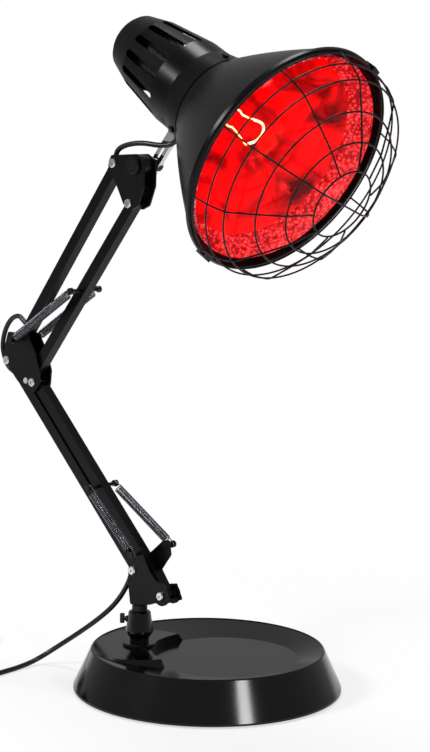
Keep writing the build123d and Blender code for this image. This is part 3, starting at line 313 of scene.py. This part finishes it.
@dataclass(frozen=True)
class StippledGlass(Surface):
    """Pressed rim of the bulb: rows of small red lenses, with painted glints on them as a pink
    frost and a painted glow.
    """

    name: str = "stippled_red_glass_painted_glints"
    lens_mm: float = 2.6
    lens_height_m: float = 0.0006
    streak_mm: float = 16.0
    # Strength of the emitted lens colour: a painted glow that stands in for the light passing
    # through the glass.
    glow: float = 0.45

    def fill(self, tree: bpy.types.NodeTree, shader: bpy.types.Node,
             place: bpy.types.NodeSocket) -> None:
        """Add the lenses with painted glints, near white pink in their middles and dark red at
        their edges, and streaks that dim some of them.
        """
        lenses = add_node(tree, "ShaderNodeTexVoronoi", {
            "Vector": place, "Scale": MM_PER_M / self.lens_mm}).outputs["Distance"]
        streak = add_node(tree, "ShaderNodeTexNoise", {
            "Vector": place, "Scale": MM_PER_M / self.streak_mm, "Detail": 3.0}).outputs["Fac"]
        mixed = add_node(tree, "ShaderNodeMath", {0: lenses, 1: streak}, operation="MULTIPLY")
        # The ramp paints glints: near white pink at each lens's middle, dark red at its edge.
        tint = add_node(tree, "ShaderNodeValToRGB", {"Fac": mixed.outputs["Value"]},
                        ((0.04, "#FFD2D4"), (0.14, "#F08088"), (0.26, "#D02434"),
                         (0.42, "#8A0814"))).outputs["Color"]
        bump = add_node(tree, "ShaderNodeBump", {
            "Height": lenses, "Strength": 0.8, "Distance": self.lens_height_m})
        # The same colour is emitted as well: painted glow.
        plug(tree, shader, {
            "Base Color": tint, "Normal": bump.outputs["Normal"], "Roughness": 0.3,
            "Emission Color": tint, "Emission Strength": self.glow})


@dataclass(frozen=True)
class SilveredReflector(Surface):
    """Inside of the bulb: vapour deposited aluminium, with painted reflections of the filament as
    red clouds and ripples, a painted glow, and folds in its height.
    """

    name: str = "silvered_bulb_reflector"
    fold_mm: float = 26.0
    fold_depth_m: float = 0.006
    painted_reflection_cloud_mm: float = 60.0
    painted_reflection_ripple_mm: float = 24.0
    painted_ripple_share: float = 0.55
    # Strength of the emitted red: a painted glow that stands in for the filament's light off the
    # reflector.
    glow: float = 0.75

    def fill(self, tree: bpy.types.NodeTree, shader: bpy.types.Node,
             place: bpy.types.NodeSocket) -> None:
        """Add clouds and ripples of painted reflection in the red, a painted glow, and folds in
        the height.
        """
        fold = add_node(tree, "ShaderNodeTexVoronoi", {
            "Vector": place, "Scale": MM_PER_M / self.fold_mm}, feature="SMOOTH_F1")
        cloud = add_node(tree, "ShaderNodeTexNoise", {
            "Vector": place, "Scale": MM_PER_M / self.painted_reflection_cloud_mm, "Detail": 1.0})
        ripple = add_node(tree, "ShaderNodeTexNoise", {
            "Vector": place, "Scale": MM_PER_M / self.painted_reflection_ripple_mm, "Detail": 3.0,
            "Distortion": 0.9})
        both = add_node(tree, "ShaderNodeMix", {
            0: self.painted_ripple_share, 2: cloud.outputs["Fac"], 3: ripple.outputs["Fac"]})
        # Dark to bright red: painted reflections of the glowing filament, not the metal's own
        # colour.
        tint = add_node(tree, "ShaderNodeValToRGB", {"Fac": both.outputs[0]},
                        ((0.36, "#4A0004"), (0.45, "#A80008"), (0.53, "#E8000C"),
                         (0.66, "#FF1A18"))).outputs["Color"]
        bump = add_node(tree, "ShaderNodeBump", {
            "Height": fold.outputs["Distance"], "Strength": 0.9, "Distance": self.fold_depth_m})
        # The same red is emitted as well: painted glow.
        plug(tree, shader, {
            "Base Color": tint, "Normal": bump.outputs["Normal"], "Metallic": 0.6,
            "Roughness": 0.25, "Emission Color": tint, "Emission Strength": self.glow})


@dataclass(frozen=True)
class HotTungsten(Surface):
    """Filament at working heat: yellow white, whose colour only shows at its edges."""

    name: str = "hot_tungsten"
    turn_mm: float = 4.0
    glow: float = 14.0

    def fill(self, tree: bpy.types.NodeTree, shader: bpy.types.Node,
             place: bpy.types.NodeSocket) -> None:
        """Add the glow, hotter and cooler along the wire."""
        heat = add_node(tree, "ShaderNodeTexNoise", {
            "Vector": place, "Scale": MM_PER_M / self.turn_mm}).outputs["Fac"]
        tint = add_node(tree, "ShaderNodeValToRGB", {"Fac": heat},
                        ((0.3, "#FFB428"), (0.55, "#FFEFA0"))).outputs["Color"]
        plug(tree, shader, {
            "Base Color": tint, "Emission Color": tint, "Emission Strength": self.glow})


@dataclass(frozen=True)
class PaleFloor(Surface):
    """Pale seamless sweep: holds the lamp's shadow, and runs out to white further off."""

    name: str = "pale_floor"
    near_m: float = 0.12
    far_m: float = 0.55
    near_share: float = 0.62

    def fill(self, tree: bpy.types.NodeTree, shader: bpy.types.Node,
             place: bpy.types.NodeSocket) -> None:
        """Add a white that only the camera sees, and more of it with the distance."""
        plug(tree, shader, {
            "Base Color": (0.96, 0.96, 0.96, 1.0), "Roughness": 0.9, "Specular IOR Level": 0.0})
        away = add_node(tree, "ShaderNodeVectorMath", {0: place}, operation="LENGTH")
        share = add_node(tree, "ShaderNodeMapRange", {
            "Value": away.outputs["Value"], "From Min": self.near_m, "From Max": self.far_m,
            "To Min": self.near_share, "To Max": 1.0})
        seen = add_node(tree, "ShaderNodeLightPath").outputs["Is Camera Ray"]
        amount = add_node(tree, "ShaderNodeMath", {0: share.outputs["Result"], 1: seen},
                          operation="MULTIPLY")
        white = add_node(tree, "ShaderNodeEmission", {
            "Color": (1.0, 1.0, 1.0, 1.0), "Strength": 1.0})
        mix = add_node(tree, "ShaderNodeMixShader", {
            0: amount.outputs["Value"], 1: shader.outputs["BSDF"],
            2: white.outputs["Emission"]})
        plug(tree, tree.nodes["Material Output"], {"Surface": mix.outputs["Shader"]})


class Workshop:
    """Builds materials once and turns meshes into pieces."""

    def __init__(self) -> None:
        """Start with no materials."""
        self.made: dict[str, bpy.types.Material] = {}

    def dress(self, piece: bpy.types.Object, surface: Surface) -> None:
        """Give a piece one surface all over, whose material is made on first use.

        Args:
            piece: The object.
            surface: Its surface.
        """
        if surface.name not in self.made:
            self.made[surface.name] = surface.build()
        piece.data.materials.clear()
        piece.data.materials.append(self.made[surface.name])

    def add(self, name: str, data: bpy.types.Mesh, surface: Surface,
            smooth: bool = True) -> bpy.types.Object:
        """Put a mesh in the scene as a piece with one surface.

        Args:
            name: The piece's name.
            data: Its mesh, in metres.
            surface: Its surface.
            smooth: Whether its faces are shaded smooth.

        Returns:
            The new object, which rides on nothing yet.
        """
        for polygon in data.polygons:
            polygon.use_smooth = smooth
        made = bpy.data.objects.new(name, data)
        bpy.context.scene.collection.objects.link(made)
        self.dress(made, surface)
        LOG.info("%s: %d faces", name, len(data.polygons))
        return made

    def piece(self, name: str, mesh: bmesh.types.BMesh, surface: Surface,
              smooth: bool = True) -> bpy.types.Object:
        """Turn a bmesh in millimetres into a piece in metres.

        Args:
            name: The piece's name.
            mesh: The shape, which is freed.
            surface: Its surface.
            smooth: Whether its faces are shaded smooth.

        Returns:
            The new object, which rides on nothing yet.
        """
        bmesh.ops.scale(mesh, vec=(MM, MM, MM), verts=mesh.verts)
        data = bpy.data.meshes.new(name)
        mesh.to_mesh(data)
        mesh.free()
        return self.add(name, data, surface, smooth)

    def tube(self, name: str, points: list[Vector], radius: float, surface: Surface,
             smooth_path: bool = True, sides: int = 3) -> bpy.types.Object:
        """Make a round tube along points in millimetres, as a mesh.

        Args:
            name: The piece's name.
            points: The line's control points.
            radius: The tube's radius.
            surface: Its surface.
            smooth_path: Whether the line is a NURBS spline, or straight runs.
            sides: Bevel resolution.

        Returns:
            The new object, which rides on nothing yet.
        """
        data = self.line(name, points, radius, smooth_path, sides)
        return self.add(name, data, surface)

    def line(self, name: str, points: list[Vector], radius: float, smooth_path: bool = True,
             sides: int = 3) -> bpy.types.Mesh:
        """Make the mesh of a bevelled curve along points in millimetres.

        Args:
            name: The mesh's name.
            points: The curve's control points.
            radius: The bevel's depth, where 0 gives the bare line.
            smooth_path: Whether it is a NURBS spline, or straight runs.
            sides: Bevel resolution.

        Returns:
            The mesh, in metres.
        """
        data = bpy.data.curves.new(name + "_line", "CURVE")
        data.dimensions = "3D"
        data.bevel_depth = radius * MM
        data.bevel_resolution = sides
        data.use_fill_caps = True
        data.resolution_u = 6
        spline = data.splines.new("NURBS" if smooth_path else "POLY")
        spline.points.add(len(points) - 1)
        for spot, point in zip(spline.points, points):
            spot.co = (*(point * MM), 1.0)
        if smooth_path:
            spline.order_u = 3
            spline.use_endpoint_u = True
        curve = bpy.data.objects.new(name + "_line", data)
        bpy.context.scene.collection.objects.link(curve)
        bpy.context.view_layer.update()
        mesh = bpy.data.meshes.new_from_object(curve)
        mesh.name = name
        bpy.data.objects.remove(curve)
        return mesh


@dataclass
class BalanceSpring:
    """A wound extension spring with a loop at each end."""

    name: str
    start: Vector
    end: Vector
    body: Body
    other: Body
    coil_radius: float = 3.0
    wire_radius: float = 0.45
    pitch: float = 1.36
    hook_radius: float = 2.3
    reach: float = 5.5
    points_per_turn: int = 12

    def hook(self, at: Vector, out: Vector, normal: Vector) -> list[Vector]:
        """Work out an open loop round one end.

        Args:
            at: The loop's middle.
            out: The way that its round side faces.
            normal: Across it, in the plane of the loop.

        Returns:
            Points of the loop.
        """
        turns = [math.radians(angle) for angle in range(100, -101, -25)]
        return [at + out * (self.hook_radius * math.cos(turn))
                + normal * (-self.hook_radius * math.sin(turn)) for turn in turns]

    def line(self) -> list[Vector]:
        """Work out the wire's line.

        Returns:
            Points from hook to hook, in millimetres.
        """
        way = (self.end - self.start).normalized()
        across = Vector((0, 1, 0))
        normal = way.cross(across).normalized()
        body_length = (self.end - self.start).length - 2 * self.reach
        steps = round(body_length / self.pitch) * self.points_per_turn
        points = self.hook(self.start, -way, normal)
        for step in range(steps + 1):
            angle = 2 * math.pi * step / self.points_per_turn
            spot = self.start + way * (self.reach + body_length * step / steps)
            points.append(spot + normal * (self.coil_radius * math.cos(angle))
                          + across * (self.coil_radius * math.sin(angle)))
        return points + self.hook(self.end, way, -normal)

    def build(self, shop: Workshop) -> None:
        """Make the spring in place of its CAD solid.

        Args:
            shop: Where pieces are made.
        """
        made = shop.tube(self.name + "_wire", self.line(), self.wire_radius, SPRING_WIRE,
                         smooth_path=False, sides=2)
        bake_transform(made)
        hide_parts(self.name)


def springs() -> list[BalanceSpring]:
    """Place the four balance springs, a pair for each pair of bars.

    Returns:
        The springs.
    """
    lower_pin = (LOWER_FRONT_ROOT
                 + (LOWER_FRONT_TIP - LOWER_FRONT_ROOT).normalized() * LOWER_PIN_ALONG)
    upper_pin = (UPPER_FRONT_ROOT
                 + (UPPER_FRONT_TIP - UPPER_FRONT_ROOT).normalized() * UPPER_PIN_ALONG)
    lower, upper = (Body.LOWER_FRONT, Body.TURRET), (Body.ELBOW, Body.UPPER_FRONT)
    return [
        BalanceSpring("lower_spring_front", lower_pin - SPRING_ASIDE, LOWER_TAB - SPRING_ASIDE,
                      *lower),
        BalanceSpring("lower_spring_rear", lower_pin + SPRING_ASIDE, LOWER_HORN + SPRING_ASIDE,
                      *lower),
        BalanceSpring("upper_spring_front", UPPER_STUD - SPRING_ASIDE, upper_pin - SPRING_ASIDE,
                      *upper),
        BalanceSpring("upper_spring_rear", UPPER_STUD + SPRING_ASIDE, upper_pin + SPRING_ASIDE,
                      *upper),
    ]


@dataclass
class HeadFrame:
    """The head's own frame: X up, Y to the side, Z back from the rim along the head's axis."""

    droop: float = 28.3
    turn: float = -2.84
    rim_centre: Vector = field(default_factory=lambda: Vector((93.2, ARM_Y, 394.1)))

    def matrix(self) -> Matrix:
        """Work out where the head's frame lies in the lamp's.

        Returns:
            The transform, in millimetres.
        """
        droop, turn = math.radians(self.droop), math.radians(self.turn)
        back = Vector((-math.cos(droop) * math.cos(turn), -math.cos(droop) * math.sin(turn),
                       math.sin(droop)))
        side = Vector((-math.sin(turn), math.cos(turn), 0))
        turned = Matrix((side.cross(back), side, back)).transposed().to_4x4()
        return Matrix.Translation(self.rim_centre) @ turned


@dataclass
class ReflectorBulb:
    """A blown reflector bulb: clear domed front, stippled shoulder, silvered body.

    Its outlines are points of (radius, back from the rim plane), in millimetres.
    """

    frame: HeadFrame
    crown: float = 7.0
    crown_fall: float = 6.6
    fall_power: float = 2.4
    flat_radius: float = 75.0
    flat_steps: int = 12
    segments: int = 96
    edge: tuple[tuple[float, float], ...] = ((76.8, 0.6), (78.3, 2.6))
    shoulder: tuple[tuple[float, float], ...] = (
        (78.3, 2.6), (78.95, 5.0), (78.6, 7.4), (77.2, 10.8), (73.0, 17.4), (67.0, 25.0))
    body: tuple[tuple[float, float], ...] = (
        (67.0, 25.0), (61.6, 30.6), (55.75, 36.0), (45.5, 47.0), (36.0, 58.5), (28.0, 72.0),
        (24.0, 85.0), (20.0, 98.0), (16.0, 109.6), (12.7, 120.0), (12.7, 125.0))

    def front(self) -> list[tuple[float, float]]:
        """Work out the outline of the domed front.

        Returns:
            Points from the axis to the shoulder.
        """
        radii = [self.flat_radius * step / self.flat_steps for step in range(self.flat_steps + 1)]
        return [(radius, -(self.crown - self.crown_fall
                           * (radius / self.flat_radius) ** self.fall_power))
                for radius in radii] + list(self.edge)

    def build(self, shop: Workshop) -> None:
        """Make the glass front, the stippled shoulder and the silvered body.

        Args:
            shop: Where pieces are made.
        """
        for name, outline, glass in (
                ("bulb_clear_front", self.front(), RedFilterGlass()),
                ("bulb_stippled_shoulder", self.shoulder, StippledGlass()),
                ("bulb_silvered_body", self.body, SilveredReflector())):
            made = shop.piece(name, self.spun(outline), glass)
            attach(made, Body.HEAD.value)
            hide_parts("bulb_envelope")

    def spun(self, outline: list[tuple[float, float]]) -> bmesh.types.BMesh:
        """Spin an outline round the head's axis and put it in the lamp's frame.

        Args:
            outline: The points.

        Returns:
            The shape, in millimetres.
        """
        mesh = bmesh.new()
        verts = [mesh.verts.new((radius, 0, back)) for radius, back in outline]
        for one, two in zip(verts, verts[1:]):
            mesh.edges.new((one, two))
        bmesh.ops.spin(mesh, geom=mesh.verts[:] + mesh.edges[:], axis=(0, 0, 1), cent=(0, 0, 0),
                       dvec=(0, 0, 0), angle=2 * math.pi, steps=self.segments, use_merge=True)
        bmesh.ops.remove_doubles(mesh, verts=mesh.verts, dist=0.001)
        bmesh.ops.transform(mesh, matrix=self.frame.matrix(), verts=mesh.verts)
        bmesh.ops.recalc_face_normals(mesh, faces=mesh.faces)
        return mesh


@dataclass
class FilamentMount:
    """The glowing filament: an open loop on its two supports, in the head's frame."""

    frame: HeadFrame
    loop_radius: float = 0.8
    support_radius: float = 0.45
    loop: tuple[tuple[float, float, float], ...] = (
        (-9.0, 0.0, 52.0), (-8.0, 7.0, 52.0), (-3.0, 11.6, 52.0), (3.0, 11.6, 52.0),
        (8.0, 7.0, 52.0), (9.0, 0.0, 52.0))
    left: tuple[tuple[float, float, float], ...] = (
        (-9.2, 0.0, 52.6), (-6.0, 0.0, 64.0), (-2.8, 0.0, 77.0))
    right: tuple[tuple[float, float, float], ...] = (
        (9.2, 0.0, 52.6), (6.0, 0.0, 64.0), (2.8, 0.0, 77.0))

    def build(self, shop: Workshop) -> None:
        """Make the filament in place of its CAD solid.

        Args:
            shop: Where pieces are made.
        """
        wires = ((self.loop, self.loop_radius), (self.left, self.support_radius),
                 (self.right, self.support_radius))
        for index, (places, radius) in enumerate(wires):
            points = [self.frame.matrix() @ Vector(place) for place in places]
            made = shop.tube(f"filament_{index}", points, radius, HotTungsten())
            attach(made, Body.HEAD.value)
            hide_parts("filament")


def held(*places: tuple[float, ...]) -> list[Vector]:
    """Turn places in the arm's plane to points.

    Args:
        *places: Along and up, and a little to the rear where there is a third number.

    Returns:
        The points, in millimetres.
    """
    return [Vector((place[0], ARM_Y + (place[2] if len(place) > 2 else 0.0), place[1]))
            for place in places]


@dataclass
class Flex:
    """The mains flex: loops at the head and the elbow, the free cord and its put away coil."""

    radius: float = 1.95
    sides: int = 4
    coil_at: tuple[float, float, float] = (-163.4, -118.0, 2.0)
    coil_middle: float = 22.2
    coil_pitch: float = 5.4
    # The spline runs inside its control points by this share of the radius.
    coil_widening: float = 1.035
    layer_rise: float = 4.5
    layers: int = 4
    turns_per_layer: float = 3.0
    # Turns in which the cord climbs from one layer to the next.
    climb: float = 0.5
    points_per_turn: int = 12

    def stretch(self, shop: Workshop, name: str, points: list[Vector],
                node: str) -> None:
        """Make one stretch of flex in place of the CAD node it stands for.
        """
        made = shop.tube(name, points, self.radius, VINYL, sides=self.sides)
        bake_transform(made)
        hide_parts(node)

    def loops(self, shop: Workshop) -> None:
        """Make the stretches that the lamp holds, each split on the body in its middle.

        Args:
            shop: Where pieces are made.
        """
        side = held((-194.6, 237.8))
        crown = held((-53.8, 403.8, 2.1))
        below_elbow = held(
            (-65.23, 109.99), (-158.03, 207.08), (-165.66, 213.61), (-172.31, 219.70),
            (-179.3, 222.6), (-187.9, 225.6), (-193.0, 232.6)) + side
        above_elbow = side + held(
            (-196.2, 243.0), (-192.6, 256.0), (-185.2, 265.4), (-176.6, 268.2),
            (-172.50, 265.17), (-163.15, 258.30), (-156.13, 268.03), (-150.93, 276.62),
            (-145.01, 284.68))
        below_head = held(
            (-145.01, 284.68), (-83.69, 368.15), (-79.33, 376.11), (-75.47, 385.68),
            (-72.50, 393.43), (-70.6, 399.4, 0.4), (-60.6, 403.2, 1.2)) + crown
        above_head = crown + held(
            (-47.0, 404.4, 3.0), (-34.0, 402.6, 5.4), (-21.77, 403.53, 9.71),
            (-17.79, 410.93, 9.51))
        inside = held(
            (-65.23, 109.99), (-59.01, 103.48), (-53.51, 96.28), (-51.4, 85.0), (-55.0, 77.6))
        self.stretch(shop, "loop_below_elbow", below_elbow,
                     "lower_cord")
        self.stretch(shop, "loop_above_elbow", above_elbow,
                     "lower_cord")
        self.stretch(shop, "loop_below_head", below_head,
                     "upper_cord")
        self.stretch(shop, "loop_above_head", above_head,
                     "upper_cord")
        self.stretch(shop, "lead_out_of_bar", inside,
                     "supply_cord")

    def coil(self) -> list[Vector]:
        """Work out the coil, whose layers wind inwards and outwards in turn.

        Returns:
            The control points, in millimetres.
        """
        points = []
        flat = self.turns_per_layer - self.climb
        outer = self.coil_middle + self.coil_pitch * flat / 2
        inner = outer - self.coil_pitch * flat
        total = self.turns_per_layer * self.layers - self.climb
        for step in range(int(total * self.points_per_turn) + 1):
            turn = step / self.points_per_turn
            layer = min(int(turn / self.turns_per_layer), self.layers - 1)
            done = turn - layer * self.turns_per_layer
            wound = self.coil_pitch * min(done, flat)
            climbed = max(done - flat, 0) / self.climb if layer < self.layers - 1 else 0.0
            radius = (inner + wound if layer % 2 else outer - wound) * self.coil_widening
            rise = self.layer_rise * (layer + 0.5 - 0.5 * math.cos(math.pi * climbed))
            angle = -2 * math.pi * turn
            points.append(Vector((self.coil_at[0] + radius * math.cos(angle),
                                  self.coil_at[1] + radius * math.sin(angle),
                                  self.coil_at[2] + rise)))
        return points

    def free(self, shop: Workshop) -> None:
        """Args:
            shop: Where pieces are made.
        """
        down = held(
            (-55.0, 77.6), (-58.6, 70.2), (-70.8, 55.4, -0.2), (-88.0, 41.4, -0.4),
            (-107.4, 27.6, -1.4), (-125.2, 14.8, -5.4), (-137.6, 3.6, -17.0), (-136.4, 2.0, -34.0))
        on_table = [Vector(place) for place in (
            (-135.0, -78.0, 2.0), (-134.45, -96.0, 2.0), (-134.45, -110.0, 2.0))]
        to_plug = [Vector(place) for place in (
            (-191.6, -104.0, 14.4), (-194.0, -92.0, 10.0), (-199.0, -78.0, 7.0),
            (-204.0, -66.0, 6.25))]
        points = down + on_table + self.coil()[1:] + to_plug
        spine = shop.line("free_cord_path", points, 0.0)
        path = [tuple(vertex.co) for vertex in spine.vertices]
        made = shop.tube("free_cord", points, self.radius, VINYL, sides=self.sides)
        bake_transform(made)
        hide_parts("supply_cord", "cord_coil")
        length = sum((Vector(b) - Vector(a)).length for a, b in zip(path, path[1:]))
        LOG.info("free_cord: %d points, %.4f m", len(points), length)


# CAD nodes that keep their shape and get a better finish.
DRESSED_NODES: dict[Surface, tuple[str, ...]] = {
    STOVE_ENAMEL: ("base_shell", "post_socket"),
    POWDER_COAT: ("shade", "vented_cap"),
    BAR_COAT: ("lower_back_bar", "lower_front_bar", "upper_back_bar", "upper_front_bar"),
    PLATE_COAT: ("bracket_block", "lower_bracket_front", "lower_bracket_rear",
                 "elbow_front_plate", "elbow_rear_plate", "head_bracket_front",
                 "head_bracket_rear"),
    BLACK_ZINC: ("swivel_stem", "thumb_screw", "bracket_spring_studs", "lower_spring_pin",
                 "elbow_spring_studs", "upper_spring_pin", "clamp_barrel", "tilt_bolt",
                 "cap_screws"),
    BRIGHT_ZINC: ("bottom_plate", "base_screws", "socket_nut", "lower_pivot_bolts",
                  "lower_pivot_nuts", "elbow_bolts", "elbow_nuts", "elbow_rivet",
                  "head_bracket_bolts", "head_bracket_nuts"),
    CHROME_PLATE: ("chrome_arm",),
    SAND_CAST_IRON: ("base_weight",),
    DIPPED_WIRE: ("wire_guard", "guard_clips"),
    VINYL: ("cord_gland",),
    MOULDED_BLACK: ("plug_body", "tilt_nut"),
    FOAM: ("base_pad",),
    NYLON: ("lower_pivot_washers", "elbow_washers", "head_bracket_washers"),
    STAMPED_BRASS: ("holder_contacts", "plug_blades"),
    PRESSED_PHENOLIC: ("lampholder",),
    ROLLED_ALUMINIUM: ("bulb_base",),
    ClearGlass(): ("glass_stem",),
}


@dataclass
class Studio:
    """Floor, light and the photograph's camera."""

    camera_at: Vector = field(default_factory=lambda: Vector((968.8, -1081.5, 430.4)))
    yaw: float = 41.76
    pitch: float = -7.64
    roll: float = 0.83
    focal_px: float = 2000.0
    height_px: float = 752.0
    sensor_mm: float = 36.0
    floor_half: float = 6000.0
    floor_drop: float = 0.05
    soft_world: float = 0.35
    lamps_aim_m: tuple[float, float, float] = (0, 0, 0.25)

    def build(self, shop: Workshop) -> None:
        """Set up the floor, the lamps, the world and the camera.

        Args:
            shop: Where pieces are made.
        """
        self.floor(shop)
        self.world()
        self.lamps()
        self.camera()
        bpy.context.scene.view_settings.view_transform = "Standard"

    def floor(self, shop: Workshop) -> None:
        """Lay a wide floor under the lamp.

        Args:
            shop: Where pieces are made.
        """
        mesh = bmesh.new()
        bmesh.ops.create_grid(mesh, x_segments=1, y_segments=1, size=self.floor_half)
        bmesh.ops.translate(mesh, vec=(0, 0, -self.floor_drop), verts=mesh.verts)
        shop.piece("floor", mesh, PaleFloor(), smooth=False)

    def world(self) -> None:
        """Light the scene all round, and show white to the camera and through the glass."""
        world = bpy.data.worlds.new("studio")
        bpy.context.scene.world = world
        world.use_nodes = True
        tree = world.node_tree
        tree.nodes.clear()
        path = add_node(tree, "ShaderNodeLightPath")
        clear = add_node(tree, "ShaderNodeMath", {
            0: path.outputs["Is Camera Ray"], 1: path.outputs["Is Transmission Ray"]},
            operation="MAXIMUM")
        soft = add_node(tree, "ShaderNodeBackground", {
            "Color": (1, 1, 1, 1), "Strength": self.soft_world})
        white = add_node(tree, "ShaderNodeBackground", {"Color": (1, 1, 1, 1), "Strength": 1.0})
        mix = add_node(tree, "ShaderNodeMixShader", {
            0: clear.outputs["Value"], 1: soft.outputs["Background"],
            2: white.outputs["Background"]})
        add_node(tree, "ShaderNodeOutputWorld", {"Surface": mix.outputs["Shader"]})

    def lamps(self) -> None:
        """Hang a large soft box each side and one above."""
        for name, place, size, power in (
                ("key", (-0.6, -1.3, 1.2), 0.34, 15.0),
                ("fill", (1.6, -0.4, 0.9), 0.34, 8.0),
                ("top", (-0.2, 0.3, 1.8), 0.6, 12.0)):
            light = bpy.data.lights.new(name, "AREA")
            light.shape = "DISK"
            light.size = size
            light.energy = power
            made = bpy.data.objects.new(name, light)
            made.location = place
            aim = Vector(self.lamps_aim_m) - Vector(place)
            made.rotation_euler = aim.to_track_quat("-Z", "Y").to_euler()
            bpy.context.scene.collection.objects.link(made)

    def camera(self) -> None:
        """Stand the camera where the photograph was taken from."""
        yaw, pitch, roll = (math.radians(v) for v in (self.yaw, self.pitch, self.roll))
        ahead = Vector((-math.sin(yaw) * math.cos(pitch), math.cos(yaw) * math.cos(pitch),
                        math.sin(pitch)))
        right = Vector((math.cos(yaw), math.sin(yaw), 0.0))
        up = right.cross(ahead)
        right_rolled = right * math.cos(roll) + up * math.sin(roll)
        up_rolled = up * math.cos(roll) - right * math.sin(roll)
        data = bpy.data.cameras.new("camera")
        data.sensor_fit = "VERTICAL"
        data.sensor_height = self.sensor_mm
        data.lens = self.focal_px * self.sensor_mm / self.height_px
        data.clip_end = 50.0
        made = bpy.data.objects.new("camera", data)
        turned = Matrix((right_rolled, up_rolled, -ahead)).transposed().to_4x4()
        made.matrix_world = Matrix.Translation(self.camera_at * MM) @ turned
        bpy.context.scene.collection.objects.link(made)
        bpy.context.scene.camera = made


def main() -> None:
    """Build every sub-assembly in order."""
    logging.basicConfig(level=logging.INFO, format="%(name)s %(message)s")
    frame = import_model()
    shop = Workshop()
    Studio().build(shop)
    for surface, names in DRESSED_NODES.items():
        for name in names:
            shop.dress(frame["nodes"][name], surface)
            LOG.info("%s: %s", name, surface.name)
    head = HeadFrame()
    ReflectorBulb(head).build(shop)
    FilamentMount(head).build(shop)
    flex = Flex()
    flex.loops(shop)
    flex.free(shop)
    for spring in springs():
        spring.build(shop)


if __name__ == "__main__":
    main()
